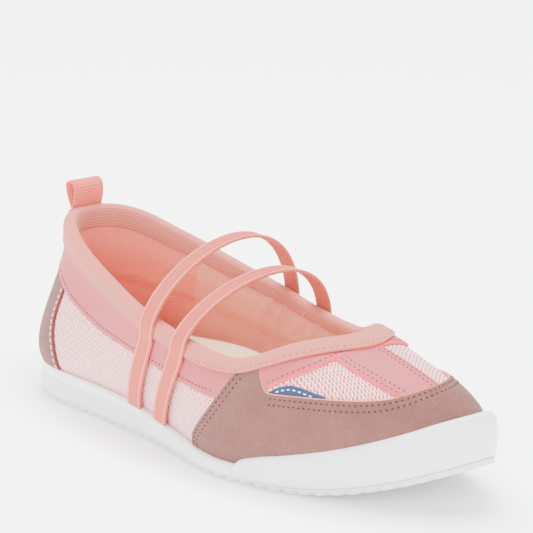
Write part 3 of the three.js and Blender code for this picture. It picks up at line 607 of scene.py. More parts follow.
class Shader:
    """Builds one material's node tree."""

    def __init__(self, name: str) -> None:
        """Starts a material with only its principled shader and output.

        Args:
            name: the name that it gets.
        """
        self.material = bpy.data.materials.new(name)
        self.material.use_nodes = True
        self.tree = self.material.node_tree
        self.tree.nodes.clear()
        output = self.tree.nodes.new("ShaderNodeOutputMaterial")
        self.base = self.tree.nodes.new("ShaderNodeBsdfPrincipled")
        self.tree.links.new(self.base.outputs[0], output.inputs[0])

    def set_input(self, socket: bpy.types.NodeSocket, value: Value) -> None:
        """Links a wire to a socket or sets its number or colour.

        Args:
            socket: the input to set.
            value: a wire, a number or a colour.
        """
        if isinstance(value, Wire):
            self.tree.links.new(value.socket, socket)
        elif isinstance(value, tuple) and len(value) == 3 and socket.type == "RGBA":
            socket.default_value = (*value, 1.0)
        else:
            socket.default_value = value

    def node(self, kind: str, settings: dict, inputs: dict, output: Union[int, str] = 0) -> Wire:
        """Adds any node.

        Args:
            kind: the node's type.
            settings: its properties, set first; "stops" fills a colour ramp.
            inputs: values or wires by socket name or number.
            output: which output to give back.

        Returns:
            The output as a wire.
        """
        n = self.tree.nodes.new(kind)
        for key, value in settings.items():
            if key == "stops":
                for i, (at, colour) in enumerate(value):
                    e = n.color_ramp.elements[i] if i < 2 else n.color_ramp.elements.new(at)
                    e.position, e.color = at, (*colour, 1.0)
            else:
                setattr(n, key, value)
        for key, value in inputs.items():
            self.set_input(n.inputs[key], value)
        return Wire(self, n.outputs[output])

    def math(self, operation: str, *values: Value) -> Wire:
        """A Math node."""
        return self.node("ShaderNodeMath", {"operation": operation}, dict(enumerate(values)))

    def blend(self, factor: Value, a: Value, b: Value, mode: str = "MIX") -> Wire:
        """Mixes two colours.

        Args:
            factor: how much of the second colour shows.
            a: the first colour.
            b: the second colour.
            mode: how the two are mixed.

        Returns:
            The mixed colour.
        """
        n = self.tree.nodes.new("ShaderNodeMix")
        n.data_type, n.blend_type = "RGBA", mode
        for socket, value in ((n.inputs[0], factor), (n.inputs[6], a), (n.inputs[7], b)):
            self.set_input(socket, value)
        return Wire(self, n.outputs[2])

    def place(self, scale: float = 1000.0) -> Wire:
        """The point on the object, in millimetres by default."""
        at = self.node("ShaderNodeTexCoord", {}, {}, "Object")
        return self.node("ShaderNodeVectorMath", {"operation": "SCALE"}, {0: at, "Scale": scale})

    def weave(self) -> tuple[Wire, Wire]:
        """The piece's own two texture coordinates, in millimetres.

        Returns:
            The two coordinates.
        """
        uv = self.node("ShaderNodeUVMap", {"uv_map": "weave"}, {})
        split = self.tree.nodes.new("ShaderNodeSeparateXYZ")
        self.set_input(split.inputs[0], uv)
        return Wire(self, split.outputs[0]), Wire(self, split.outputs[1])

    def noise(self, at: Wire, scale: float, detail: float = 2.0, rough: float = 0.5) -> Wire:
        """A noise value about 0.5."""
        return self.node("ShaderNodeTexNoise", {}, {"Vector": at, "Scale": scale, "Detail": detail,
                                                    "Roughness": rough}, "Fac")

    def bump(self, height: Wire, distance: float, strength: float = 1.0,
             under: Optional[Wire] = None) -> Wire:
        """A bump from a height, in millimetres.

        Args:
            height: the height, in millimetres.
            distance: how far the bump stands out, in millimetres.
            strength: how strongly it shows.
            under: a bump that this one lies on.

        Returns:
            The normal.
        """
        inputs: dict = {"Height": height, "Distance": distance * MM, "Strength": strength}
        if under is not None:
            inputs["Normal"] = under
        return self.node("ShaderNodeBump", {}, inputs)

    def finish(self, **sockets: Value) -> bpy.types.Material:
        """Sets the principled shader's sockets, named with underscores.

        Args:
            sockets: the shader's sockets and their values.

        Returns:
            The material.
        """
        for key, value in sockets.items():
            self.set_input(self.base.inputs[key.replace("_", " ")], value)
        return self.material


Colour = tuple[float, float, float]


KEY_LIGHT = 3.2  # how strongly the studio lights a white face
SHOULDER = (1.03, 0.73)  # ceiling and bend of the view's highlights


def tone(red: int, green: int, blue: int) -> Colour:
    """The surface colour that shows as the given screen values under the studio's light.

    Args:
        red: red on screen.
        green: green on screen.
        blue: blue on screen.

    Returns:
        The surface colour.
    """
    out = []
    for c in (red, green, blue):
        shown = ((c / 255 + 0.055) / 1.055) ** 2.4
        lit = shown * SHOULDER[1] / (SHOULDER[0] - shown)
        out.append(min(lit / KEY_LIGHT, 0.86))
    return tuple(out)


def shade(colour: Colour, factor: float) -> Colour:
    """A colour made darker or lighter."""
    return tuple(min(c * factor, 1.0) for c in colour)


# ------------------------------------------------------------------ finishes
@dataclass(frozen=True)
class Rubber:
    """Moulded sole rubber, with a faint skin and faint darker clouds."""

    name: str
    colour: Colour
    roughness: float = 0.42

    def build(self) -> bpy.types.Material:
        """The material.

        Returns:
            The material.
        """
        s = Shader(self.name)
        at = s.place()
        cloud = s.noise(at, 0.05, 3.0)
        fine = s.noise(at, 2.2, 3.0)
        colour = s.blend(cloud.ramp(0.35, 0.75), self.colour, shade(self.colour, 0.965))
        rough = self.roughness + (cloud - 0.5) * 0.14
        return s.finish(Base_Color=colour, Roughness=rough, Normal=s.bump(fine, 0.05, 0.5),
                        Specular_IOR_Level=0.42)


@dataclass(frozen=True)
class Nubuck:
    """Brushed mauve nubuck with light nap clouds and pale fibres."""

    name: str
    colour: Colour
    fleck: Colour

    def build(self) -> bpy.types.Material:
        """The material.

        Returns:
            The material.
        """
        s = Shader(self.name)
        at = s.place()
        nap = s.noise(at, 0.09, 4.0, 0.6)
        grain = s.noise(at, 1.3, 4.0, 0.65)
        fibre = s.noise(at, 2.6, 2.0)
        colour = s.blend(nap.ramp(0.3, 0.7), shade(self.colour, 0.9), shade(self.colour, 1.09))
        colour = s.blend(grain.ramp(0.35, 0.72) * 0.5, colour, shade(self.colour, 0.84))
        colour = s.blend(fibre.ramp(0.62, 0.74) * 0.7, colour, self.fleck)
        height = grain * 0.7 + fibre * 0.5
        return s.finish(Base_Color=colour, Roughness=0.93, Normal=s.bump(height, 0.14, 0.75),
                        Specular_IOR_Level=0.22, Sheen_Weight=0.05, Sheen_Roughness=0.5)


@dataclass(frozen=True)
class Synthetic:
    """Smooth matt coated fabric with a fine leather grain, its crevices darkened as painted shade."""

    name: str
    colour: Colour
    roughness: float = 0.6

    def build(self) -> bpy.types.Material:
        """The material.

        Returns:
            The material.
        """
        s = Shader(self.name)
        at = s.place()
        cloud = s.noise(at, 0.08, 3.0)
        cell = s.node("ShaderNodeTexVoronoi", {"feature": "DISTANCE_TO_EDGE"},
                      {"Vector": at, "Scale": 1.15, "Randomness": 1.0}, "Distance")
        grain = cell.ramp(0.0, 0.22)
        colour = s.blend(cloud.ramp(0.3, 0.75), self.colour, shade(self.colour, 1.05))
        # Darker in the grain's crevices: painted shade.
        colour = s.blend((1 - grain) * 0.16, colour, shade(self.colour, 0.8))
        rough = self.roughness + (cloud - 0.5) * 0.12
        return s.finish(Base_Color=colour, Roughness=rough, Normal=s.bump(grain, 0.05, 0.6),
                        Specular_IOR_Level=0.35)


@dataclass(frozen=True)
class DashMesh:
    """Two-tone open mesh: white ground with small pink dashes on a slanting lattice, and openings darkened as
    painted shade.
    """

    name: str
    ground: Colour
    dash: Colour
    pitch: float = 2.2
    slant: float = 0.35

    def build(self) -> bpy.types.Material:
        """The material.

        Returns:
            The material.
        """
        s = Shader(self.name)
        u, v = s.weave()
        at = s.place()
        wobble = (s.noise(at, 0.5, 2.0) - 0.5) * 0.3
        row = v / (self.pitch * 0.5) + wobble
        lane = row.floor()
        across = u / self.pitch + lane * 0.5 + wobble
        fu = across.fract() - 0.5
        fv = row.fract() - 0.5
        long = fu + fv * self.slant
        reach = long * long * 8.5 + fv * fv * 6.0
        dash = reach.ramp(1.6, 0.8)
        strength = s.noise(at, 0.75, 1.0).ramp(0.25, 0.6) * 0.3 + 0.7
        hole = ((fu.size() - 0.5).size().ramp(0.16, 0.03)) * (fv.size().ramp(0.28, 0.05))
        thread = ((u * (2 * math.pi / 0.48)).sine() * 0.5 + 0.5) * ((v * (2 * math.pi / 0.48)).sine() * 0.5 + 0.5)
        colour = s.blend(dash * strength, self.ground, self.dash)
        # The openings take a deeper pink: painted shade inside them.
        colour = s.blend(hole * 0.4, colour, shade(self.dash, 0.72))
        height = dash * 0.7 + thread * 0.35 - hole * 0.9
        return s.finish(Base_Color=colour, Roughness=0.88, Normal=s.bump(height, 0.22, 0.7),
                        Specular_IOR_Level=0.25, Sheen_Weight=0.04, Sheen_Roughness=0.6)


@dataclass(frozen=True)
class Knit:
    """Lining knit: a slanting lattice of small stitches, darker between them as painted shade."""

    name: str
    colour: Colour
    deep: Colour
    pitch: float = 1.5
    contrast: float = 0.6

    def build(self) -> bpy.types.Material:
        """The material.

        Returns:
            The material.
        """
        s = Shader(self.name)
        u, v = s.weave()
        at = s.place()
        row = v / (self.pitch * 0.62)
        across = u / self.pitch + row.floor() * 0.5
        fu = across.fract() - 0.5
        fv = row.fract() - 0.5
        loop = (fu * fu * 5.2 + fv * fv * 5.2).ramp(1.25, 0.3)
        cloud = s.noise(at, 0.05, 3.0)
        base = s.blend(cloud.ramp(0.3, 0.7) * 0.6, self.colour, shade(self.colour, 0.93))
        # Darker between the stitch loops: painted shade.
        colour = s.blend((1 - loop) * self.contrast, base, self.deep)
        return s.finish(Base_Color=colour, Roughness=0.92, Normal=s.bump(loop, 0.25, 0.8),
                        Specular_IOR_Level=0.2, Sheen_Weight=0.05, Sheen_Roughness=0.6)


class RibRun(Enum):
    """Which way a tape's ribs run."""

    ALONG = "along"
    ACROSS = "across"


@dataclass(frozen=True)
class Ribbed:
    """Narrow woven tape or elastic with fine ribs, darker in the valleys between them as painted shade."""

    name: str
    colour: Colour
    deep: Colour
    run: RibRun
    pitch: float = 0.9
    contrast: float = 0.35
    depth: float = 0.16

    def build(self) -> bpy.types.Material:
        """The material.

        Returns:
            The material.
        """
        s = Shader(self.name)
        u, v = s.weave()
        at = s.place()
        lead, cross = (v, u) if self.run is RibRun.ALONG else (u, v)
        rib = (lead * (2 * math.pi / self.pitch)).sine() * 0.5 + 0.5
        pick = (cross * (2 * math.pi / (self.pitch * 0.75))).sine() * 0.5 + 0.5
        fuzz = s.noise(at, 1.8, 3.0, 0.6)
        cloud = s.noise(at, 0.12, 3.0)
        height = rib * 0.75 + pick * 0.25
        colour = s.blend(cloud.ramp(0.3, 0.7) * 0.5, self.colour, shade(self.colour, 1.06))
        # Darker towards the valley colour between the ribs: painted shade.
        colour = s.blend((1 - height) * self.contrast, colour, self.deep)
        colour = s.blend(fuzz.ramp(0.5, 0.8) * 0.2, colour, shade(self.colour, 1.15))
        return s.finish(Base_Color=colour, Roughness=0.87,
                        Normal=s.bump(height + fuzz * 0.25, self.depth, 0.8),
                        Specular_IOR_Level=0.25, Sheen_Weight=0.05, Sheen_Roughness=0.55)


@dataclass(frozen=True)
class Brushed:
    """Plain soft stuff such as a footbed cover, foam, board, thread or a cut edge."""

    name: str
    colour: Colour
    grain: float = 1.2
    relief: float = 0.1
    roughness: float = 0.9

    def build(self) -> bpy.types.Material:
        """The material.

        Returns:
            The material.
        """
        s = Shader(self.name)
        at = s.place()
        cloud = s.noise(at, 0.1, 3.0)
        fine = s.noise(at, self.grain, 3.0, 0.6)
        colour = s.blend(cloud.ramp(0.3, 0.7), self.colour, shade(self.colour, 0.95))
        colour = s.blend(fine.ramp(0.45, 0.8) * 0.3, colour, shade(self.colour, 0.86))
        return s.finish(Base_Color=colour, Roughness=self.roughness,
                        Normal=s.bump(fine, self.relief, 0.7),
                        Specular_IOR_Level=0.22)


@dataclass(frozen=True)
class Palette:
    """Every finish of the shoe, made once."""

    sole: Rubber = Rubber("sole_rubber", tone(236, 236, 236), 0.45)
    bumper: Rubber = Rubber("bumper_rubber", tone(238, 238, 238), 0.38)
    tread: Rubber = Rubber("tread_rubber", tone(230, 230, 230), 0.5)
    mauve: Nubuck = Nubuck("mauve_nubuck", tone(177, 135, 127), tone(222, 190, 170))
    pink: Synthetic = Synthetic("pink_synthetic", tone(218, 142, 150))
    hot: Brushed = Brushed("hot_pink_edge", tone(236, 120, 155), 1.5, 0.05)
    salmon_edge: Brushed = Brushed("salmon_cut_edge", tone(246, 190, 172), 1.5, 0.05)
    red_edge: Brushed = Brushed("dark_red_edge", tone(176, 84, 88), 1.5, 0.05)
    mesh: DashMesh = DashMesh("dash_mesh", tone(252, 242, 241), tone(232, 112, 128))
    patch: Brushed = Brushed("blue_patch", tone(98, 120, 158), 1.6, 0.12)
    # The second colour of each lining knit is the painted shade between its stitches.
    heel_knit: Knit = Knit("heel_lining_knit", tone(248, 194, 180), tone(234, 146, 132), 1.15, 0.6)
    vamp_knit: Knit = Knit("vamp_lining_knit", tone(251, 206, 190), tone(241, 174, 158), 0.9, 0.5)
    # The second colour of each tape below is the painted shade in its rib valleys.
    binding: Ribbed = Ribbed("binding_tape", tone(226, 180, 167), tone(190, 134, 123), RibRun.ALONG,
                             1.3, 0.4)
    elastic: Ribbed = Ribbed("strap_elastic", tone(225, 156, 138), tone(190, 112, 96), RibRun.ALONG,
                             0.8, 0.4)
    strap_rim: Ribbed = Ribbed("strap_rim", tone(242, 194, 176), tone(214, 150, 132), RibRun.ALONG,
                               0.7, 0.25)
    webbing: Ribbed = Ribbed("tab_webbing", tone(240, 172, 156), tone(198, 112, 98), RibRun.ACROSS,
                             1.25, 0.5, 0.3)
    footbed: Brushed = Brushed("footbed_cover", tone(247, 226, 214), 1.4, 0.08)
    foam: Brushed = Brushed("collar_foam", tone(240, 228, 205), 0.9, 0.3)
    board: Brushed = Brushed("insole_board", tone(196, 176, 150), 1.1, 0.1)
    stiffener: Brushed = Brushed("stiffener", tone(214, 208, 196), 1.1, 0.06)
    # Dark dots for the toe guard's punched holes: painted shade inside the holes.
    dark_thread: Brushed = Brushed("stitch_hole_painted_shade", tone(112, 76, 74), 2.0, 0.04)
    grey_thread: Brushed = Brushed("grey_mauve_thread", tone(158, 112, 118), 2.0, 0.05)
    binding_thread: Brushed = Brushed("binding_thread", tone(190, 138, 136), 2.0, 0.05)
    white_thread: Brushed = Brushed("white_thread", tone(246, 242, 238), 2.0, 0.05)
    pink_thread: Brushed = Brushed("pink_thread", tone(170, 104, 114), 2.0, 0.05)
    salmon_thread: Brushed = Brushed("salmon_thread", tone(226, 156, 142), 2.0, 0.05)

    def make(self) -> dict[str, bpy.types.Material]:
        """Builds every material, by field name."""
        return {key: getattr(self, key).build() for key in self.__dataclass_fields__}


# ------------------------------------------------------------------ panels
FLAT_MM = (165.0, 58.0)  # rough millimetres in a unit of q and of t, where a panel is cut
ROUND_MM = (150.0, 60.0)  # the same where a weave runs round the shoe
ROUNDING = (0.3, 0.75, 1.4)  # rows of points inside a panel's edge, in shares of its softness


@dataclass
class Edge:
    """One edge of a panel, from its first corner to the next panel edge's first corner."""

    points: Sequence[tuple[float, float]]
    free: bool = True
    trim: float = 0.0


class WeaveMap(Enum):
    """How a panel's weave is laid on it."""

    SIDE = "side"
    TOP = "top"
    ROUND = "round"


@dataclass
class Panel:
    """A flat piece of the upper, cut to a closed outline and laid on the last."""

    name: str
    edges: list[Edge]
    depth: Depth
    thick: float
    cell: float = 1.7
    soft: float = 0.7
    weave: WeaveMap = WeaveMap.SIDE
    creases: Sequence[tuple[Sequence[tuple[float, float]], float, float]] = ()
    relief: Optional[Callable[[Array, Array], Array]] = None
    thick_at: Optional[Callable[[Array, Array], Array]] = None

    def build(self, last: Last) -> bpy.types.Object:
        """Makes the panel.

        Args:
            last: the surface that it lies on.

        Returns:
            The object, with slot 0 on the face and slot 1 on trimmed edges.
        """
        border, marks = [], []
        for edge in self.edges:
            pts = np.array(edge.points, float)
            way = last.face(pts[:, 0], pts[:, 1])
            length = np.linalg.norm(np.diff(way, axis=0), axis=1).sum()
            dense = evenly_by(pts, way, max(2, int(length / (self.cell * 0.6))))
            border.extend(dense[:-1])
            marks.extend([edge] * (len(dense) - 1))
        border = np.array(border)
        flat = self.flatten(border)
        ring = self.rings(flat)
        inside = self.filling(flat)
        every = np.concatenate([border, ring, inside])
        plane = self.flatten(every)
        count = len(border)
        loop = [(i, (i + 1) % count) for i in range(count)]
        made = delaunay_2d_cdt([Vector(p) for p in plane], loop, [list(range(count))], 1, 1e-5)
        spots = self.unflatten(np.array([tuple(v) for v in made[0]]))
        faces = [tuple(f) for f in made[2]]
        return self.solid(last, spots, faces, border, marks)

    @staticmethod
    def flatten(spots: Array) -> Array:
        """Rough millimetres for (q, t)."""
        return np.stack([spots[:, 0] * FLAT_MM[0], spots[:, 1] * FLAT_MM[1]], -1)

    @staticmethod
    def unflatten(plane: Array) -> Array:
        """(q, t) from rough millimetres."""
        return np.stack([plane[:, 0] / FLAT_MM[0], plane[:, 1] / FLAT_MM[1]], -1)

    @staticmethod
    def off_border(flat: Array, points: Array) -> Array:
        """Distance from each point to the nearest border point.

        Args:
            flat: the border laid flat, in rough millimetres.
            points: the points, one row each.

        Returns:
            One distance for each point.
        """
        tree = KDTree(len(flat))
        for i, p in enumerate(flat):
            tree.insert((p[0], p[1], 0), i)
        tree.balance()
        return np.array([tree.find((p[0], p[1], 0))[2] for p in points])

    def rings(self, flat: Array) -> Array:
        """Rows of points just inside the border, for its rounded edge.

        Args:
            flat: the border laid flat, in rough millimetres.

        Returns:
            (q, t) points.
        """
        run = unit(np.roll(flat, -1, 0) - np.roll(flat, 1, 0))
        area = 0.5 * np.sum(flat[:, 0] * np.roll(flat[:, 1], -1) - np.roll(flat[:, 0], -1) * flat[:,
                                                                                                  1])
        left = np.stack([-run[:, 1], run[:, 0]], -1) * (1 if area > 0 else -1)
        rows = [flat + left * self.soft * k for k in ROUNDING]
        points = np.concatenate(rows)
        keep = inside_of(points, flat)
        near = self.off_border(flat, points)
        wanted = np.repeat([self.soft * k for k in ROUNDING], len(flat))
        return self.unflatten(points[keep & (near > wanted * 0.8)])

    def filling(self, flat: Array) -> Array:
        """Points over the middle of the panel.

        Args:
            flat: the border laid flat, in rough millimetres.

        Returns:
            (q, t) points.
        """
        low, high = flat.min(0), flat.max(0)
        xs = np.arange(low[0], high[0], self.cell)
        ys = np.arange(low[1], high[1], self.cell * 0.87)
        grid = np.array([(x + (j % 2) * self.cell / 2, y) for j, y in enumerate(ys) for x in xs])
        if not len(grid):
            return np.zeros((0, 2))
        grid = grid[inside_of(grid, flat)]
        near = self.off_border(flat, grid)
        return self.unflatten(grid[near > self.soft * ROUNDING[-1] + self.cell * 0.6])

    def solid(self, last: Last, spots: Array, faces: list, border: Array,
              marks: list) -> bpy.types.Object:
        """Gives the flat cut its thickness, rounded edges, creases and weave.

        Args:
            last: the surface that it lies on.
            spots: (q, t) points.
            faces: each face's point numbers.
            border: the border's (q, t) points.
            marks: the edge that each border point is on.

        Returns:
            The piece.
        """
        q, t = spots[:, 0], spots[:, 1]
        base = last.face(q, t)
        normal = last.normal(q, t)
        edge_way = last.face(border[:, 0], border[:, 1])
        free = distance_to(base,
                           edge_way[[m.free for m in marks]]) if any(m.free for m in marks) else None
        level = np.ones(len(q))
        if free is not None:
            level = np.sqrt(1 - (1 - np.clip(free / self.soft, 0, 1)) ** 2) * 0.85 + 0.15
        low = self.depth(q, t) if callable(self.depth) else np.full(len(q), float(self.depth))
        thick = self.thick_at(q, t) if self.thick_at is not None else self.thick
        high = low + thick * level
        for line, width, sink in self.creases:
            way = last.face(*np.array(line).T)
            high -= sink * np.exp(-((distance_to(base, way) / width) ** 2))
        if self.relief is not None:
            move = self.relief(q, t)
            low, high = low + move, high + move
        outer = base + normal * high[:, None]
        inner = base + normal * low[:, None]
        n = len(spots)
        solid = list(faces) + [tuple(i + n for i in reversed(f)) for f in faces]
        seen = {(f[i], f[(i + 1) % len(f)]) for f in faces for i in range(len(f))}
        rim = [(a, b) for a, b in seen if (b, a) not in seen]
        solid += [(b, a, a + n, b + n) for a, b in rim]
        trims = [m.trim for m in marks]
        slots = np.zeros(len(solid), int)
        if max(trims) > 0:
            tip = edge_way[[m.trim > 0 for m in marks]]
            away = distance_to(base, tip)
            trim = max(trims)
            for i, f in enumerate(solid):
                ids = [k % n for k in f]
                if away[ids].mean() < trim:
                    slots[i] = 1
        uv = self.laid(q, t, base)
        return make_object(self.name, np.concatenate([outer, inner]), solid,
                           np.concatenate([uv, uv]), slots)

    def laid(self, q: Array, t: Array, base: Array) -> Array:
        """The weave's coordinates on the panel, in millimetres.

        Args:
            q: places round the shoe.
            t: places up the surface.
            base: points of the surface under the panel.

        Returns:
            Two coordinates for each point.
        """
        if self.weave is WeaveMap.SIDE:
            return np.stack([base[:, 0], base[:, 2]], -1)
        if self.weave is WeaveMap.TOP:
            return np.stack([base[:, 0] * 1.12, base[:, 1]], -1)
        return np.stack([q * ROUND_MM[0], t * ROUND_MM[1]], -1)


def evenly_by(spots: Array, way: Array, count: int) -> Array:
    """(q, t) points spread evenly along their length on the surface.

    Args:
        spots: (q, t) points.
        way: the same points on the surface.
        count: how many points to make.

    Returns:
        (q, t) points.
    """
    run = np.concatenate([[0], np.cumsum(np.linalg.norm(np.diff(way, axis=0), axis=1))])
    at = np.linspace(0, run[-1], count + 1)
    return np.stack([np.interp(at, run, spots[:, k]) for k in (0, 1)], -1)


def inside_of(points: Array, loop: Array) -> Array:
    """Which points lie inside a closed outline.

    Args:
        points: the points, one row each.
        loop: the closed outline.

    Returns:
        True for each point inside.
    """
    x, y = points[:, 0], points[:, 1]
    inside = np.zeros(len(points), bool)
    a = loop
    b = np.roll(loop, -1, 0)
    for (x0, y0), (x1, y1) in zip(a, b):
        if y0 == y1:
            continue
        crosses = (y0 > y) != (y1 > y)
        inside ^= crosses & (x < (x1 - x0) * (y - y0) / (y1 - y0) + x0)
    return inside


def distance_to(points: Array, line: Array) -> Array:
    """Distance from each point to the nearest of a line's points, in millimetres.

    Args:
        points: the points, one row each.
        line: the line to follow.

    Returns:
        One distance for each point.
    """
    tree = KDTree(len(line))
    for i, p in enumerate(line):
        tree.insert(p, i)
    tree.balance()
    out = np.empty(len(points))
    for i, p in enumerate(points):
        hit = tree.find_n(p, 2)
        if len(hit) < 2:
            out[i] = hit[0][2]
            continue
        a, b = np.array(hit[0][0]), np.array(hit[1][0])
        ab = b - a
        f = np.clip(np.dot(p - a, ab) / (np.dot(ab, ab) + 1e-9), 0, 1)
        out[i] = np.linalg.norm(p - a - ab * f)
    return out


def curve(points: Sequence[tuple[float, float]], count: int = 60) -> list[tuple[float, float]]:
    """A smooth (q, t) line through the given places."""
    scaled = np.array(points, float) * (165.0, 58.0)
    return [tuple(p) for p in path_through(scaled, count) / (165.0, 58.0)]


def other_side(points: Sequence[tuple[float, float]]) -> list[tuple[float, float]]:
    """The same line on the inner side, run the other way."""
    return [(2 - q, t) for q, t in reversed(points)]


def shifted(last: Last, line: Sequence[tuple[float, float]],
            inward: float) -> list[tuple[float, float]]:
    """A line moved sideways over the surface, to its left for a positive distance.

    Args:
        last: the surface.
        line: (q, t) points.
        inward: the distance in millimetres.

    Returns:
        The moved line's (q, t) points.
    """
    pts = np.array(line, float)
    s = 1e-3
    du = (last.face(pts[:, 0] + s, pts[:, 1]) - last.face(pts[:, 0] - s, pts[:, 1])) / (2 * s)
    dv = (last.face(pts[:, 0], pts[:, 1] + s) - last.face(pts[:, 0], pts[:, 1] - s)) / (2 * s)
    way = last.face(pts[:, 0], pts[:, 1])
    run = unit(np.gradient(way, axis=0))
    normal = unit(np.cross(du, dv))
    left = unit(np.cross(normal, run))
    move = left * inward
    uu, vv, uv = (du * du).sum(1), (dv * dv).sum(1), (du * dv).sum(1)
    mu, mv = (move * du).sum(1), (move * dv).sum(1)
    det = uu * vv - uv * uv
    dq = (mu * vv - mv * uv) / det
    dt = (mv * uu - mu * uv) / det
    return [tuple(p) for p in pts + np.stack([dq, dt], -1)]


# ------------------------------------------------------------------ stitches
class StitchTree:
    """The Geometry Nodes tree that sets a stitch on every point of a row."""

    def __init__(self) -> None:
        """Builds the tree with its named inputs."""
        tree = bpy.data.node_groups.new("stitch_row", "GeometryNodeTree")
        face = tree.interface
        face.new_socket("Geometry", in_out="INPUT", socket_type="NodeSocketGeometry")
        self.ids = {}
        for name, kind in (("Length", "NodeSocketFloat"), ("Width", "NodeSocketFloat"),
                           ("Height", "NodeSocketFloat"), ("Finish", "NodeSocketMaterial")):
            self.ids[name] = face.new_socket(name, in_out="INPUT", socket_type=kind).identifier
        face.new_socket("Geometry", in_out="OUTPUT", socket_type="NodeSocketGeometry")
        nodes, links = tree.nodes, tree.links
        start, end = nodes.new("NodeGroupInput"), nodes.new("NodeGroupOutput")
        bead = nodes.new("GeometryNodeMeshUVSphere")
        bead.inputs["Segments"].default_value = 8
        bead.inputs["Rings"].default_value = 5
        bead.inputs["Radius"].default_value = 0.5
        along, up = self._read(nodes, "along"), self._read(nodes, "up")
        turn = nodes.new("FunctionNodeAxesToRotation")
        turn.primary_axis, turn.secondary_axis = "Z", "X"
        links.new(up, turn.inputs[0])
        links.new(along, turn.inputs[1])
        size = nodes.new("ShaderNodeCombineXYZ")
        for i, name in enumerate(("Length", "Width", "Height")):
            links.new(start.outputs[name], size.inputs[i])
        put = nodes.new("GeometryNodeInstanceOnPoints")
        links.new(start.outputs["Geometry"], put.inputs["Points"])
        links.new(bead.outputs["Mesh"], put.inputs["Instance"])
        links.new(turn.outputs[0], put.inputs["Rotation"])
        links.new(size.outputs[0], put.inputs["Scale"])
        real = nodes.new("GeometryNodeRealizeInstances")
        links.new(put.outputs[0], real.inputs[0])
        round_ = nodes.new("GeometryNodeSetShadeSmooth")
        links.new(real.outputs[0], round_.inputs[0])
        paint = nodes.new("GeometryNodeSetMaterial")
        links.new(round_.outputs[0], paint.inputs["Geometry"])
        links.new(start.outputs["Finish"], paint.inputs["Material"])
        links.new(paint.outputs[0], end.inputs[0])
        self.tree = tree

    @staticmethod
    def _read(nodes: bpy.types.Nodes, name: str) -> bpy.types.NodeSocket:
        """A node that reads a vector attribute.

        Args:
            nodes: the tree's nodes.
            name: the attribute's name.

        Returns:
            The node's output.
        """
        n = nodes.new("GeometryNodeInputNamedAttribute")
        n.data_type = "FLOAT_VECTOR"
        n.inputs["Name"].default_value = name
        return n.outputs["Attribute"]

    def row(self, name: str, points: Array, along: Array, up: Array,
            size: tuple[float, float, float],
            finish: bpy.types.Material) -> bpy.types.Object:
        """Makes one piece of stitches.

        Args:
            name: the piece's name.
            points: where each stitch is, in the shoe's layout.
            along: its run.
            up: its outward direction.
            size: length, width and height in millimetres.
            finish: its material.

        Returns:
            A plain mesh object.
        """
        mesh = bpy.data.meshes.new(name)
        mesh.from_pydata(((points + SHIFT) * MM).tolist(), [], [])
        for key, value in (("along", along), ("up", up)):
            mesh.attributes.new(key, "FLOAT_VECTOR", "POINT").data.foreach_set(
                "vector", np.asarray(value, np.float32).ravel())
        seed = bpy.data.objects.new(name + "_row", mesh)
        bpy.context.scene.collection.objects.link(seed)
        modifier = seed.modifiers.new("stitches", "NODES")
        modifier.node_group = self.tree
        for key, value in zip(("Length", "Width", "Height"), size):
            modifier[self.ids[key]] = value * MM
        modifier[self.ids["Finish"]] = finish
        bpy.context.view_layer.update()
        graph = bpy.context.evaluated_depsgraph_get()
        result = bpy.data.meshes.new_from_object(seed.evaluated_get(graph))
        bpy.data.objects.remove(seed)
        bpy.data.meshes.remove(mesh)
        obj = bpy.data.objects.new(name, result)
        bpy.context.scene.collection.objects.link(obj)
        return obj


def stitch_places(last: Last, line: Sequence[tuple[float, float]], depth: Depth, pitch: float,
                  phase: float = 0.5) -> tuple[Array, Array, Array]:
    """Centres, runs and outward directions of stitches along a line on the upper.

    Args:
        last: the surface that it lies on.
        line: the line to follow.
        depth: how far out of the surface, in millimetres.
        pitch: from one stitch to the next, in millimetres.
        phase: where the row starts in its pitch.

    Returns:
        Centres, runs and outward directions.
    """
    pts = np.array(line, float)
    way = last.face(pts[:, 0], pts[:, 1])
    length = np.linalg.norm(np.diff(way, axis=0), axis=1).sum()
    count = max(1, int(length / pitch))
    dense = evenly_by(pts, way, count * 8)
    centre = dense[int(8 * phase)::8][:count]
    q, t = centre[:, 0], centre[:, 1]
    points = last.place(q, t, depth)
    whole = last.place(dense[:, 0], dense[:, 1], depth)
    run = unit(np.gradient(whole, axis=0))[int(8 * phase)::8][:count]
    return points, run, last.normal(q, t)


# ------------------------------------------------------------------ sub-assemblies
Finishes = dict[str, bpy.types.Material]


def ring_body(name: str, rings: Sequence[Array], uv: Optional[Array] = None) -> bpy.types.Object:
    """A closed solid from rings of points, whose two ends are closed by strips across the shoe.

    Args:
        name: the piece's name.
        rings: from the underside out and over to the last ring; each runs from the heel down the outer
            side to the toe and back, with an even count.
        uv: a texture place for each point.

    Returns:
        The object.
    """
    size = len(rings[0])
    faces = grid_faces(len(rings), size, False, True)
    top = (len(rings) - 1) * size
    for i in range(size // 2):
        a, b = i, i + 1
        c, d = (size - i - 1) % size, (size - i) % size
        strip = tuple(dict.fromkeys((a, b, c, d)))
        if len(strip) > 2:
            faces.append(strip[::-1])
            faces.append(tuple(top + k for k in strip))
    return make_object(name, np.concatenate(rings), faces, uv)


def level_at(last: Last, q: Array, height: Array, depth: float) -> Array:
    """The t at which the upper's surface, `depth` out, stands at a height.

    Args:
        last: the surface that it lies on.
        q: places round the shoe.
        height: the height, in millimetres.
        depth: how far out of the surface, in millimetres.

    Returns:
        One t for each place.
    """
    low, high = np.full(q.shape, -0.3), np.full(q.shape, 0.9)
    for _ in range(26):
        middle = (low + high) / 2
        under = last.place(q, middle, depth)[..., 2] < height
        low, high = np.where(under, middle, low), np.where(under, high, middle)
    return (low + high) / 2


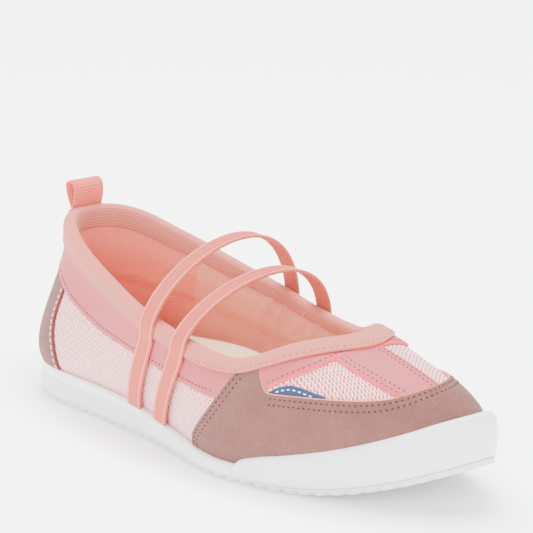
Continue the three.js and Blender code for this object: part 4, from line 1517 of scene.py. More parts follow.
@dataclass
class SoleUnit:
    """Tread, cup wall and toe bumper."""

    last: Last
    finishes: Finishes
    tread_height: float = 2.6
    tooth_pitch: float = 7.2
    tooth_depth: float = 1.9
    tooth_height: float = 2.0
    groove_depth: float = 0.9
    groove_heights: tuple[float, ...] = (4.9, 6.7, 8.5, 10.3)
    wall: Keys = ((0, 15.2), (0.2, 14.4), (0.33, 13.4), (0.45, 10.2), (0.55, 7.8), (0.67, 7.2),
                  (1, 7.2))
    bumper_rear: float = 0.655
    bumper: Keys = ((0.64, 8.2), (0.663, 9.6), (0.69, 11.8), (0.716, 13.8), (0.79, 17.8),
                    (0.9, 21.4), (1, 22.6))
    bumper_proud: float = 0.7
    bumper_face: Keys = (
        (0.0, -1.7), (0.015, -0.9), (0.06, -0.25), (0.14, 0.3), (0.28, 0.8), (0.45, 1.0),
        (0.6, 0.85), (0.72, 0.4),
        (0.8, -0.1), (0.87, -0.7), (0.925, -1.4), (0.965, -2.2), (0.99, -3.0))
    bar_pitch: float = 7.2

    def build(self) -> list[bpy.types.Object]:
        """Makes every piece of the sole."""
        return [self.tread(), self.tread_bars(), self.cup(), self.toe_bumper()]

    def ring(self, q: Array, inset: Array, height: Array) -> Array:
        """Points inset from the outline at a height over the spring line.

        Args:
            q: places round the shoe.
            inset: how far inside the outline, in millimetres.
            height: the height, in millimetres.

        Returns:
            Points, one row each.
        """
        p = self.last.sole.inset(q, np.broadcast_to(inset, q.shape))
        p[:, 2] = height + self.last.sole.spring(p[:, 0])
        return p

    def tread(self) -> bpy.types.Object:
        """Outsole with scalloped teeth round its lower edge.

        Returns:
            The piece.
        """
        sole = self.last.sole
        qs = np.linspace(0, 1, 4001)
        way = np.concatenate([[0],
                              np.cumsum(np.linalg.norm(np.diff(sole.outline(qs), axis=0), axis=1))])
        teeth = round(way[-1] / self.tooth_pitch)
        count = teeth * 12
        one = np.interp(np.linspace(0, way[-1], count + 1), way, qs)
        q = np.concatenate([one, 2 - one[1:-1][::-1]])
        phase = np.concatenate([np.arange(count + 1), np.arange(count + 1)[1:-1][::-1]]) / 12.0
        notch = np.clip(1.25 * np.abs(np.sin(phase * np.pi)) - 0.25, 0, 1) ** 0.7
        bite = (1 - notch) * self.tooth_depth
        rings = [
            self.ring(q, 9.0, 0.9),
            self.ring(q, 8.4, 0.0),
            self.ring(q, 0.9 + bite, 0.0),
            self.ring(q, 0.45 + bite, 0.25),
            self.ring(q, 0.35 + bite, self.tooth_height * 0.7),
            self.ring(q, 0.3 + bite * 0.4, self.tooth_height),
            self.ring(q, 0.3, self.tooth_height + 0.12),
            self.ring(q, 0.32, self.tread_height - 0.06),
            self.ring(q, 0.45, self.tread_height + 0.02),
        ]
        obj = dress(ring_body("tread_sole", rings), self.finishes["tread"])
        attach(obj, SHOE)
        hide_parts("outsole")
        return obj

    def tread_bars(self) -> bpy.types.Object:
        """Wavy bars across the underside.

        Returns:
            The piece.
        """
        sole = self.last.sole
        points, faces = [], []
        for x in np.arange(16.0, sole.length - 14, self.bar_pitch):
            q = sole.q_at(x)
            low = self.ring(np.array([q]), 10.5, 0)[0]
            high = self.ring(np.array([2 - q]), 10.5, 0)[0]
            if high[1] - low[1] < 12:
                continue
            n = 17
            f = np.linspace(0, 1, n)
            line = low + (high - low) * f[:, None]
            line[:, 0] += 1.3 * np.sin(f * 6 * np.pi)
            base = len(points)
            for p in line:
                for dx, z in ((-1.7, 0.95), (-1.3, 0.05), (1.3, 0.05), (1.7, 0.95)):
                    points.append((p[0] + dx, p[1], z + float(sole.spring(np.array(p[0] + dx)))))
            for i in range(n - 1):
                for k in range(4):
                    a, b = base + i * 4 + k, base + i * 4 + (k + 1) % 4
                    faces.append((a, a + 4, b + 4, b))
            faces.append(tuple(base + k for k in range(4)))
            faces.append(tuple(base + (n - 1) * 4 + k for k in reversed(range(4))))
        obj = dress(make_object("tread_bars", np.array(points), faces), self.finishes["tread"])
        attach(obj, SHOE)
        return obj

    def cup(self) -> bpy.types.Object:
        """Midsole cup with fine grooves round the heel and waist.

        Returns:
            The piece.
        """
        last, sole = self.last, self.last.sole
        one = np.linspace(0, 1, 241)
        q = np.concatenate([one, 2 - one[1:-1][::-1]])
        x = sole.outline(q)[:, 0]
        top = smooth_along(self.wall, x / sole.length)
        hide = 3.0 * eased(0.69 * sole.length, 0.715 * sole.length, x)
        fade = 1 - eased(0.3 * sole.length, 0.47 * sole.length, x)
        bottom = self.tread_height
        rings = [self.ring(q, 0.75 + hide, bottom), self.ring(q, 0.6 + hide, bottom + 0.15)]
        heights = [bottom + 0.55]
        for g in self.groove_heights:
            heights += [g - 0.42, g - 0.2, g, g + 0.2, g + 0.42]
        span = self.wall[0][1] - 1.3
        for h in heights:
            share = (h - bottom) / (span - bottom)
            groove = 0.0
            for g in self.groove_heights:
                groove += math.exp(-(((h - g) / 0.22) ** 2))
            z = bottom + (top - 1.3 - bottom) * share
            bulge = 0.35 * math.sin(share * math.pi)
            rings.append(self.ring(q, 0.3 + hide - bulge + groove * self.groove_depth * fade, z))
        t_top = level_at(last, q, top + sole.spring(x), 1.0)
        inner = last.place(q, t_top, -0.4)
        outer = self.ring(q, 0.3 + hide, top - 1.2)
        for f, z in ((0.02, 1.2), (0.08, 0.62), (0.19, 0.22), (0.34, 0.04), (0.6, 0.0),
                     (0.85, -0.25), (1.0, -0.5)):
            p = mix(outer, inner, f)
            p[:, 2] = top + sole.spring(p[:, 0]) - abs(z)
            rings.append(p)
        under = last.place(q, np.full(q.shape, -0.02), -0.4)
        rings.append(under)
        obj = dress(ring_body("cup_wall", rings), self.finishes["sole"])
        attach(obj, SHOE)
        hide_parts("midsole_cup")
        return obj

    def toe_bumper(self) -> bpy.types.Object:
        """Smooth bumper wrapped round the toe.

        Returns:
            The piece.
        """
        last, sole = self.last, self.last.sole
        start = sole.q_at(self.bumper_rear * sole.length)
        f = np.linspace(0, 1, 221)
        q = start + (2 - 2 * start) * (f + 0.028 * np.sin(f * 2 * np.pi))
        x = sole.outline(q)[:, 0]
        beyond = x - self.bumper_rear * sole.length
        swell = np.sqrt(1 - (1 - np.clip(beyond / 5.0, 0, 1)) ** 2)
        full = smooth_along(self.bumper, x / sole.length)
        low = self.tread_height - 0.15
        middle = (low + 4.6) / 2 + 0.6
        top = middle + (full - middle) * np.clip(swell, 0.1, 1)
        bottom = middle - (middle - low) * np.clip(swell, 0.1, 1)
        proud = (self.bumper_proud + 0.5) * swell - 0.5
        rows = []
        for share, out in self.bumper_face:
            inset = -proud * out if out > 0 else np.full(q.shape, -out) * swell
            rows.append(self.ring(q, inset, bottom + (top - bottom) * share))
        t_top = level_at(last, q, top + sole.spring(x), 1.2)
        crown = last.place(q, t_top, 0.6)
        edge = rows[-1]
        for g, lift in ((0.35, 0.12), (0.7, 0.0), (1.0, -0.35)):
            p = mix(edge, crown, g)
            p[:, 2] = top + sole.spring(p[:, 0]) + lift
            rows.append(p)
        inside = self.ring(q, 4.2, bottom + 0.6)
        rows.append(mix(rows[-1], inside, 0.5))
        rows.append(inside)
        sections = np.stack(rows, 1)
        obj = dress(swept("toe_bumper_cap", sections, False), self.finishes["bumper"])
        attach(obj, SHOE)
        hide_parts("toe_bumper")
        return obj


@dataclass
class Upper:
    """Mesh, overlays and their stitching."""

    last: Last
    finishes: Finishes
    stitches: StitchTree
    floor: float = -0.03
    cover: float = 0.965
    wing: Sequence[tuple[float, float]] = ((0.524, -0.03), (0.53, 0.18), (0.55, 0.37), (0.6, 0.72),
                                           (0.645, 0.965))
    window_outer: Sequence[tuple[float, float]] = (
        (0.694, 0.705), (0.7, 0.675), (0.75, 0.61), (0.8, 0.545), (0.85, 0.492), (0.9, 0.475),
        (1, 0.5))
    window_inner: Sequence[tuple[float, float]] = (
        (1, 0.5), (1.1, 0.52), (1.15, 0.54), (1.2, 0.57), (1.25, 0.62), (1.3, 0.68), (1.306, 0.705))
    throat: Sequence[tuple[float, float]] = (
        (0.694, 0.712), (0.75, 0.745), (0.8, 0.772), (0.85, 0.812), (0.9, 0.848), (0.95, 0.87),
        (1, 0.872))
    band: Sequence[tuple[float, float]] = (
        (0, 0.72), (0.15, 0.695), (0.25, 0.645), (0.3, 0.612), (0.35, 0.596), (0.6, 0.621))
    heel: Sequence[tuple[float, float]] = ((0.186, 0.72), (0.2, 0.51), (0.235, 0.288), (0.25, 0.11),
                                           (0.256, -0.03))
    patch: Sequence[tuple[float, float]] = ((0.7, 0.69), (0.72, 0.705), (0.75, 0.69),
                                            (0.785, 0.585))
    hole_pitch: float = 2.3
    hole: tuple[float, float, float] = (1.15, 0.62, 0.4)
    thread: tuple[float, float, float] = (2.1, 0.6, 0.5)
    rows: list = field(default_factory=list)

    def build(self) -> list[bpy.types.Object]:
        """Makes every panel and every row of stitching.

        Returns:
            The pieces.
        """
        made = [*self.meshes(), self.heel_overlay(), *self.collar_bands(), self.throat_band(),
                self.stripe(),
                self.side_patch(), self.mudguard()]
        return made + self.sew()

    def put(self, panel: Panel, slot: str, nodes: Sequence[str], *finish: str) -> bpy.types.Object:
        """Builds a panel, gives it finishes and ties it to the frame.

        Args:
            panel: the panel to build.
            slot: not used.
            nodes: the CAD nodes that it replaces.
            finish: the finish to use.

        Returns:
            The piece.
        """
        obj = dress(panel.build(self.last), *(self.finishes[f] for f in finish))
        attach(obj, SHOE)
        if nodes:
            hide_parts(*nodes)
        return obj

    def meshes(self) -> list[bpy.types.Object]:
        """The three panels of open mesh.

        Returns:
            The pieces.
        """
        out = []
        for name, turn in (("outer", False), ("inner", True)):
            corner = [(0.0, self.floor), (0.63, self.floor), (0.66, 0.95), (0.0, 0.95)]
            if turn:
                corner = [(2 - q, t) for q, t in corner][::-1]
            edges = [Edge([corner[i], corner[(i + 1) % 4]], False) for i in range(4)]
            edges = [Edge(straight(e.points), False) for e in edges]
            out.append(self.put(Panel(f"quarter_{name}", edges, -1.0, 1.0), "mesh",
                                [f"quarter_mesh_{name}"], "mesh"))
        top = [(1.34, 0.9), (1.0, 0.9), (0.66, 0.9)]
        low = [(0.66, 0.6), (0.8, 0.48), (0.9, 0.42), (1.0, 0.43), (1.1, 0.45), (1.2, 0.5),
               (1.34, 0.6)]
        edges = [Edge(curve(low), False), Edge(straight([low[-1], top[0]]), False),
                 Edge(curve(top), False),
                 Edge(straight([top[-1], low[0]]), False)]
        panel = Panel("vamp_window", edges, -1.0, 1.0, weave=WeaveMap.TOP)
        out.append(self.put(panel, "mesh", ["vamp_mesh"], "mesh"))
        return out

    def heel_overlay(self) -> bpy.types.Object:
        """Mauve counter cover with a dark red front edge.

        Returns:
            The piece.
        """
        side = curve(self.heel)
        back = [(-q, t) for q, t in side]
        edges = [
            Edge(straight([back[-1], side[-1]]), False),
            Edge(side[::-1], True, 0.55),
            Edge(straight([side[0], (0, 0.76), back[0]]), False),
            Edge(back, True, 0.55),
        ]
        crease = [(self.inner_row(side, -2.2), 0.7, 0.2), (self.inner_row(back, 2.2), 0.7, 0.2)]
        self.rows.append(("heel_row_outer", self.inner_row(side, -2.2), 1.08, 2.7, self.thread,
                          "white_thread"))
        self.rows.append(("heel_row_inner", self.inner_row(back, 2.2), 1.08, 2.7, self.thread,
                          "white_thread"))
        return self.put(Panel("heel_cover", edges, 0.1, 1.0, cell=1.9, creases=crease),
                        "mauve_nubuck",
                        ["heel_overlay"], "mauve", "red_edge")

    def inner_row(self, line: Sequence[tuple[float, float]],
                  move: float) -> list[tuple[float, float]]:
        """A seam's line beside an edge, without its last few millimetres at either end."""
        return shifted(self.last, line, move)[3:-3]

    def collar_bands(self) -> list[bpy.types.Object]:
        """Pink bands under the collar, one each side.

        Returns:
            The pieces.
        """
        out = []
        line = curve([*self.band, (0.68, 0.655)])
        for name, turn in (("outer", False), ("inner", True)):
            side = [(2 - q, t) for q, t in line] if turn else line
            end = (2 - 0.68, self.cover) if turn else (0.68, self.cover)
            start = (2.0, self.cover) if turn else (0.0, self.cover)
            edges = [Edge(side, True), Edge(straight([side[-1], end]), False),
                     Edge(straight([end, start]), False), Edge(straight([start, side[0]]), True)]
            if turn:
                edges = [Edge(e.points[::-1], e.free) for e in edges[::-1]]
            seam = self.inner_row(side, -2.4 if turn else 2.4)
            seam = [p for p in seam if self.last.sole.share(np.array(p[0])) < 0.585]
            self.rows.append((f"band_row_{name}", seam, 1.32, 2.4, self.hole, "grey_thread"))
            panel = Panel(f"band_{name}", edges, 0.25, 1.05, creases=[(seam, 0.8, 0.22)])
            out.append(self.put(panel, "pink_synthetic", [f"collar_band_{name}"], "pink"))
        return out

    def throat_band(self) -> bpy.types.Object:
        """Pink band round the throat with a hot pink lower edge.

        Returns:
            The piece.
        """
        low = [(0.68, 0.7), *self.throat[1:]]
        low = curve([*low, *other_side(low)[1:]], 140)
        ends = [(1.32, self.cover), (1.0, self.cover), (0.68, self.cover)]
        edges = [Edge(low, True, 0.75), Edge(straight([low[-1], ends[0]]), False),
                 Edge(straight(ends), False),
                 Edge(straight([ends[-1], low[0]]), False)]
        row = self.inner_row(low, 2.2)
        row = [p for p in row if 0.7 < p[0] < 1.3]
        self.rows.append(("throat_row", row, 1.27, 2.3, (1.1, 0.5, 0.35), "pink_thread"))
        return self.put(Panel("throat_cover", edges, 0.25, 1.0, creases=[(row, 0.7, 0.2)]),
                        "pink_synthetic",
                        ["throat_band"], "pink", "hot")

    def stripe(self) -> bpy.types.Object:
        """Pink stripe from the throat to the toe cap.

        Returns:
            The piece.
        """
        left = straight([(0.866, 0.9), (0.896, 0.43)])
        right = straight([(1.011, 0.43), (1.048, 0.9)])
        edges = [Edge(left, True, 0.7), Edge(straight([left[-1], right[0]]), False),
                 Edge(right, True),
                 Edge(straight([right[-1], left[0]]), False)]
        creases = []
        for k, (line, move) in enumerate(((left, 2.0), (left, 4.2), (right, 2.0), (right, 4.2))):
            row = [p for p in shifted(self.last, line, move) if 0.49 < p[1] < 0.87]
            creases.append((row, 0.55, 0.16))
            self.rows.append((f"stripe_row_{k}", row, 0.94, 2.2, (1.1, 0.5, 0.35), "pink_thread"))
        return self.put(Panel("toe_stripe_cover", edges, 0.08, 0.85, creases=creases),
                        "pink_synthetic",
                        ["toe_stripe"], "pink", "hot")

    def side_patch(self) -> bpy.types.Object:
        """Small blue tab at the corner of the window.

        Returns:
            The piece.
        """
        top = curve(self.patch, 40)
        low = straight([(0.785, 0.53), (0.74, 0.58), (0.69, 0.64)])
        edges = [Edge(top, True), Edge(straight([top[-1], low[0]]), False), Edge(low, False),
                 Edge(straight([low[-1], top[0]]), False)]
        row = [p for p in shifted(self.last, top, -1.7) if p[1] > 0.585][4:]
        self.rows.append(("patch_row", row, 0.86, 2.6, (1.6, 0.6, 0.45), "white_thread"))
        return self.put(Panel("blue_tab", edges, 0.08, 0.75, cell=1.1), "blue_patch",
                        ["side_patch"], "patch")

    def mudguard(self) -> bpy.types.Object:
        """Mauve toe cap and wings with a pale cut edge and double rows of holes, each hole a dark dot of painted
        shade.

        Returns:
            The piece.
        """
        wing = curve(self.wing)
        far = other_side(wing)
        window = curve([*self.window_outer, *self.window_inner[1:]], 150)
        edges = [
            Edge(straight([wing[0], (1.0, self.floor), far[-1]]), False),
            Edge(far[::-1], True, 0.5),
            Edge(straight([far[0], (window[-1][0], self.cover)]), False),
            Edge(straight([(window[-1][0], self.cover), window[-1]]), True, 0.5),
            Edge(window[::-1], True, 0.5),
            Edge(straight([window[0], (window[0][0], self.cover)]), True, 0.5),
            Edge(straight([(window[0][0], self.cover), wing[-1]]), False),
            Edge(wing[::-1], True, 0.5),
        ]
        creases = []
        lines = (("wing_outer", wing, -1.0), ("wing_inner", far, -1.0), ("window", window, -1.0))
        for name, line, sign in lines:
            for k, move in enumerate((2.1, 4.5)):
                row = self.inner_row(line, sign * move)
                row = [p for p in row if p[1] > 0.06]
                creases.append((row, 0.7, 0.16))
                # Each hole is a dark dot: painted shade inside the hole.
                self.rows.append((f"{name}_row_{k}", row, 1.42, self.hole_pitch, self.hole,
                                  "dark_thread"))
        return self.put(Panel("toe_guard", edges, 0.3, 1.15, creases=creases), "mauve_nubuck",
                        ["mudguard"],
                        "mauve", "salmon_edge")

    def sew(self) -> list[bpy.types.Object]:
        """Every row of stitching on the panels.

        Returns:
            The pieces.
        """
        out = []
        for name, line, depth, pitch, size, thread in self.rows:
            points, run, up = stitch_places(self.last, line, depth, pitch)
            obj = self.stitches.row(name, points, run, up, size, self.finishes[thread])
            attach(obj, SHOE)
            "mauve_nubuck" if thread == "dark_thread" else "pink_synthetic"
            out.append(obj)
        return out


def straight(points: Sequence[tuple[float, float]], count: int = 40) -> list[tuple[float, float]]:
    """A (q, t) line of straight runs through the given places."""
    scaled = np.array(points, float) * (165.0, 58.0)
    return [tuple(p) for p in evenly(scaled, count) / (165.0, 58.0)]


@dataclass
class Inside:
    """Linings, collar pad, footbed and the hidden stiffeners."""

    last: Last
    finishes: Finishes
    lining: float = 0.9
    seam: float = 0.28
    top: float = 0.985
    gap: float = 0.3
    board: float = 1.4
    footbed_thick: float = 12.0
    heel_cup: float = 2.0
    arch: float = 5.5
    dish_from: float = 42.0
    floor_drop: float = 1.3
    ridge: float = 1.3
    ridge_feet: tuple[tuple[float, float], ...] = ((89.0, 106.0), (98.0, 115.0), (108.0, 126.5),
                                                   (117.0, 135.5))

    def build(self) -> list[bpy.types.Object]:
        """Makes every inside piece.

        Returns:
            The pieces.
        """
        for node, finish in (("insole_board", "board"), ("heel_counter", "stiffener"),
                             ("toe_puff", "stiffener")):
            dress_node(node, self.finishes[finish])
        return [self.panel("heel", -self.seam, self.seam, "heel_knit"),
                self.panel("vamp", self.seam, 2 - self.seam, "vamp_knit"), self.pad(),
                self.footbed()]

    def face(self, q: Array, t: Array) -> Array:
        """Depth of the lining's inner face."""
        return -1.0 - self.last.room(q, t) - self.lining

    def panel(self, name: str, start: float, end: float, finish: str) -> bpy.types.Object:
        """One lining panel.

        Args:
            name: the name that it gets.
            start: where it starts round the shoe.
            end: where it ends round the shoe.
            finish: the finish to use.

        Returns:
            The piece.
        """
        edges = [Edge(straight([(start, -0.03), (end, -0.03)]), False),
                 Edge(straight([(end, -0.03), (end, self.top)]), False),
                 Edge(straight([(end, self.top), (start, self.top)]), False),
                 Edge(straight([(start, self.top), (start, -0.03)]), False)]
        made = Panel(f"{name}_lining_cloth", edges, self.face, self.lining, cell=1.5,
                     weave=WeaveMap.ROUND,
                     relief=self.ridges)
        obj = dress(made.build(self.last), self.finishes[finish])
        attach(obj, SHOE)
        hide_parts(f"{name}_lining")
        return obj

    def ridges(self, q: Array, t: Array) -> Array:
        """How far the lining stands in over the strap ends sewn behind it.

        Args:
            q: places round the shoe.
            t: places up the surface.

        Returns:
            One distance for each place, in millimetres.
        """
        p = self.last.face(q, t)
        rise = np.zeros(q.shape)
        for foot, top in self.ridge_feet:
            x = foot + (top - foot) * np.clip(t, 0, 1)
            rise += np.exp(-(((p[:, 0] - x) / 1.4) ** 2))
        inner = np.mod(q, 2) > 1
        return -self.ridge * rise * inner * eased(0.15, 0.3, t)

    def pad(self) -> bpy.types.Object:
        """Foam round the collar.

        Returns:
            The piece.
        """
        q0, low, high = 0.58, 0.66, 0.95
        edges = [Edge(straight([(-q0, low), (q0, low)])), Edge(straight([(q0, low), (q0, high)])),
                 Edge(straight([(q0, high), (-q0, high)])),
                 Edge(straight([(-q0, high), (-q0, low)]))]

        def thick(q: Array, t: Array) -> Array:
            """Foam thickness."""
            return np.maximum(-1.3 - (self.face(q, t) + self.lining + self.gap), 0.3)

        made = Panel("collar_pad", edges, lambda q, t: -1.3 - thick(q, t), 1.0, cell=3.0, soft=1.2)
        made.thick_at = thick
        obj = dress(made.build(self.last), self.finishes["foam"])
        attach(obj, SHOE)
        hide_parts("collar_foam")
        return obj

    def footbed(self) -> bpy.types.Object:
        """Cushioned footbed, dished at the heel and raised at the arch.

        Returns:
            The piece.
        """
        last, sole = self.last, self.last.sole
        one = np.linspace(0, 1, 121)
        q = np.concatenate([one, 2 - one[1:-1][::-1]])
        edge = last.place(q, np.zeros(q.shape), lambda a, b: self.face(a, b) - self.gap)
        share = edge[:, 0] / sole.length
        inner = np.mod(q, 2) > 1

        def base(x: Array) -> Array:
            """Height of the footbed's underside."""
            return smooth_along(sole.feather_height,
                                x / sole.length) + sole.spring(x) - self.floor_drop + 2 * self.gap + self.board

        bump = eased(0.2, 0.41, share) * (1 - eased(0.41, 0.62, share)) * self.arch
        lift = self.heel_cup * (1 - eased(0.3, 0.6, share)) + bump * np.where(inner, 1, 0.35)
        facing = edge[(len(q) - np.arange(len(q))) % len(q)]
        middle = (edge + facing) / 2
        middle[:, 0] = np.clip(middle[:, 0], self.dish_from, sole.length - self.dish_from)
        rings = []
        for f, up in ((0.02, 0.0), (0.0, 0.4), (0.0, 0.8), (0.012, 0.95), (0.04, 1.0), (0.12, 1.0),
                      (0.25, 1.0),
                      (0.42, 1.0), (0.6, 1.0), (0.8, 1.0), (0.97, 1.0)):
            p = mix(edge, middle, f)
            rise = (self.footbed_thick + lift * (1 - eased(0.04, 0.55, f))) * up
            p[:, 2] = base(p[:, 0]) + rise
            rings.append(p)
        obj = dress(ring_body("footbed_cushion", rings), self.finishes["footbed"])
        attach(obj, SHOE)
        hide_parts("footbed")
        return obj


def dress_node(node: str, material: bpy.types.Material) -> None:
    """Gives a CAD node its finish, on the slots that it has.

    Args:
        node: the CAD node's name.
        material: its finish.
    """
    obj = NODES[node]
    if not obj.material_slots:
        obj.data.materials.append(material)
    for slot in obj.material_slots:
        slot.material = material


NODES: dict[str, bpy.types.Object] = {}


@dataclass
class Collar:
    """Ribbed tape bound over the topline."""

    last: Last
    finishes: Finishes
    stitches: StitchTree
    turns: int = 420
    low: float = 0.885
    crest: float = 1.045
    under: float = 1.45
    tape: float = 1.1

    def build(self, face: Callable[[Array, Array], Array]) -> list[bpy.types.Object]:
        """Makes the binding and its stitching, over the lining's inner face.

        Args:
            face: where the lining's inner face lies.

        Returns:
            The pieces.
        """
        q = np.linspace(0, 2, self.turns, endpoint=False)
        inside = face(q, np.ones(q.shape)) - 0.2
        row = face(q, np.full(q.shape, 0.94)) - 0.2
        u, o = self.under, self.under + self.tape
        keys = [
            (self.low, u), (self.low - 0.006, (u + o) / 2), (self.low + 0.004, o - 0.05),
            (0.93, o + 0.12),
            (0.98, o + 0.12), (1.018, o - 0.45), (self.crest - 0.006, 0.9), (self.crest, -0.4),
            (self.crest, inside + 1.3), (self.crest - 0.008, inside + 0.4), (1.02, inside - 0.5),
            (0.985, inside - 0.95), (0.94, row - 0.95), (0.91, row - 0.85), (0.9, row - 0.4),
            (0.905, row),
            (0.94, row + 0.1), (0.985, inside + 0.6), (1.0, inside + 1.0), (1.0, 0.2), (0.985, u),
            (0.94, u),
        ]
        rows = [self.last.place(q, np.full(q.shape, t), self.depth_of(d)) for t, d in keys]
        control = np.stack(rows, 1)
        ring = np.concatenate([control[:, -1:], control, control[:, :2]], 1)
        parts = []
        for i in range(1, ring.shape[1] - 2):
            p0, p1, p2, p3 = (ring[:, i + k] for k in (-1, 0, 1, 2))
            for f in (0.0, 1 / 3, 2 / 3):
                parts.append(0.5 * (2 * p1 + (p2 - p0) * f + (2 * p0 - 5 * p1 + 4 * p2 - p3) * f**2
                                    + (3 * p1 - p0 - 3 * p2 + p3) * f**3))
        sections = np.stack(parts, 1)
        rim = self.last.face(q, np.ones(q.shape))
        way = np.concatenate([[0], np.cumsum(np.linalg.norm(np.diff(rim, axis=0), axis=1))])
        step = np.linalg.norm(np.diff(sections[0], axis=0), axis=1)
        across = np.concatenate([[0], np.cumsum(step)])
        uv = np.stack(np.broadcast_arrays(way[:, None], across[None, :]), -1)
        obj = dress(swept("binding_tape", sections, True, uv), self.finishes["binding"])
        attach(obj, SHOE)
        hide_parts("collar_binding")
        line = [(a, 0.905) for a in np.linspace(0.03, 1.97, 300)]
        points, run, up = stitch_places(self.last, line, o + 0.1, 2.6)
        seam = self.stitches.row("binding_row", points, run, up, (1.2, 0.36, 0.26),
                                 self.finishes["binding_thread"])
        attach(seam, SHOE)
        return [obj, seam]

    @staticmethod
    def depth_of(d: Union[float, Array]) -> Depth:
        """A depth that may change round the shoe."""
        return lambda q, t: np.broadcast_to(np.asarray(d, float), q.shape)


@dataclass(frozen=True)
class StrapSize:
    """Where one strap runs."""

    name: str
    body: str
    foot: float
    top: tuple[float, float]
    leave: tuple[tuple[float, float], tuple[float, float]]
    turn: tuple[float, float]


@dataclass
class Straps:
    """The two elastic straps over the instep."""

    last: Last
    finishes: Finishes
    stitches: StitchTree
    width: float = 9.5
    thick: float = 1.25
    sizes: tuple[StrapSize, ...] = (
        StrapSize("rear", REAR_STRAP, 93.5, (106.5, 110.5), ((12.0, 27.0), (4.0, 50.0)),
                  (51.0, 60.0)),
        StrapSize("front", FRONT_STRAP, 112.5, (127.0, 131.0), ((11.5, 20.0), (4.0, 38.0)),
                  (48.0, 57.0)),
    )

    def build(self) -> list[bpy.types.Object]:
        """Makes both straps and their stitching.

        Returns:
            The pieces.
        """
        out = []
        for size in self.sizes:
            out += self.strap(size)
        return out

    def leg(self, size: StrapSize, inner: bool) -> tuple[Array, Array]:
        """Centre line and outward direction of a leg, from the sole up.

        Args:
            size: the strap's sizes.
            inner: whether it is the inner leg.

        Returns:
            Centre line and outward directions.
        """
        last = self.last
        low = last.q_on(last.sole.feather, size.foot)
        high = last.q_on(last.topline, size.top[int(inner)])
        f = np.linspace(0, 1, 40)
        q = low + (high - low) * f
        t = -0.0 + 0.97 * f
        q = 2 - q if inner else q
        depth = 2.15 + 1.0 * eased(0.84, 0.9, t)
        points = last.place(q, t, lambda a, b: depth)
        return points, last.normal(q, t)

    def strap(self, size: StrapSize) -> list[bpy.types.Object]:
        """Makes one strap from sole to sole.

        Args:
            size: the strap's sizes.

        Returns:
            The pieces.
        """
        outer, outer_up = self.leg(size, False)
        inner, inner_up = self.leg(size, True)
        a, b = outer[-1], inner[-1]
        a = a + np.array([0, 0, 1.4])
        b = b + np.array([0, 0, 1.2])
        c1 = a + np.array([0.0, *size.leave[0]])
        c2 = b + np.array([0.0, -size.leave[1][0], size.leave[1][1]])
        f = np.linspace(0, 1, 60)[:, None]
        g = 1 - f
        arch = a * g**3 + 3 * c1 * g * g * f + 3 * c2 * g * f * f + b * f**3
        centre = np.concatenate([outer, arch, inner[::-1]])
        guide = np.zeros_like(centre)
        n = len(outer)
        run_outer, run_inner = unit(np.gradient(outer, axis=0)), unit(np.gradient(inner, axis=0))
        guide[:n] = np.cross(run_outer, outer_up)
        guide[-n:] = np.cross(inner_up, run_inner)[::-1]
        guide[:n] *= np.sign(guide[:n, :1])
        guide[-n:] *= np.sign(guide[-n:, :1])
        guide[n:-n] = (1, 0, 0)
        count = 260
        dense = evenly(np.concatenate([centre, guide], 1), count)
        line, across = dense[:, :3], dense[:, 3:]
        for _ in range(10):
            across[1:-1] = (across[:-2] + across[1:-1] * 2 + across[2:]) / 4
        for _ in range(4):
            line[1:-1] = (line[:-2] + line[1:-1] * 2 + line[2:]) / 4
        run = unit(np.gradient(line, axis=0))
        across = unit(across - run * np.sum(across * run, 1, keepdims=True))
        face = unit(np.cross(across, run))
        face *= np.sign(np.sum(face[count // 2] * (0, 0, 1)))
        profile = self.profile()
        sections = line[:, None] + across[:, None] * profile[None, :, :1] + face[:,
                                                                                 None] * profile[None, :, 1:]
        way = np.concatenate([[0], np.cumsum(np.linalg.norm(np.diff(line, axis=0), axis=1))])
        uv = np.stack(np.broadcast_arrays(way[:, None], profile[None, :, 0]), -1)
        obj = swept(f"{size.name}_strap_elastic", sections, False, uv)
        rim = (np.abs(profile[:, 0]) > 3.1) & (np.abs(profile[:, 0]) < 4.3)
        faces = [int(bool(rim[k] and rim[(k + 1) % len(profile)])) for _ in range(count - 1)
                 for k in range(len(profile))] + [0, 0]
        obj.data.polygons.foreach_set("material_index", np.array(faces, np.int32))
        dress(obj, self.finishes["elastic"], self.finishes["strap_rim"])
        made = [self.hold(obj)]
        nodes = [f"{size.name}_strap_{part}" for part in ("leg_outer", "leg_inner", "arch")]
        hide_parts(*nodes)
        for k, side in enumerate((-2.75, 2.75)):
            row = line + across * side + face * (self.thick / 2 + 0.02)
            at = np.arange(1.5, way[-1], 2.6)
            points = np.stack([np.interp(at, way, row[:, i]) for i in range(3)], -1)
            runs = np.stack([np.interp(at, way, run[:, i]) for i in range(3)], -1)
            ups = np.stack([np.interp(at, way, face[:, i]) for i in range(3)], -1)
            seam = self.stitches.row(f"{size.name}_strap_row_{k}", points, unit(runs), unit(ups),
                                     (1.6, 0.42, 0.3), self.finishes["salmon_thread"])
            made.append(self.hold(seam))
        return made

    def hold(self, obj: bpy.types.Object) -> bpy.types.Object:
        """Bakes the piece's placement into its mesh.

        Args:
            obj: the piece.

        Returns:
            The piece.
        """
        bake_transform(obj)
        return obj

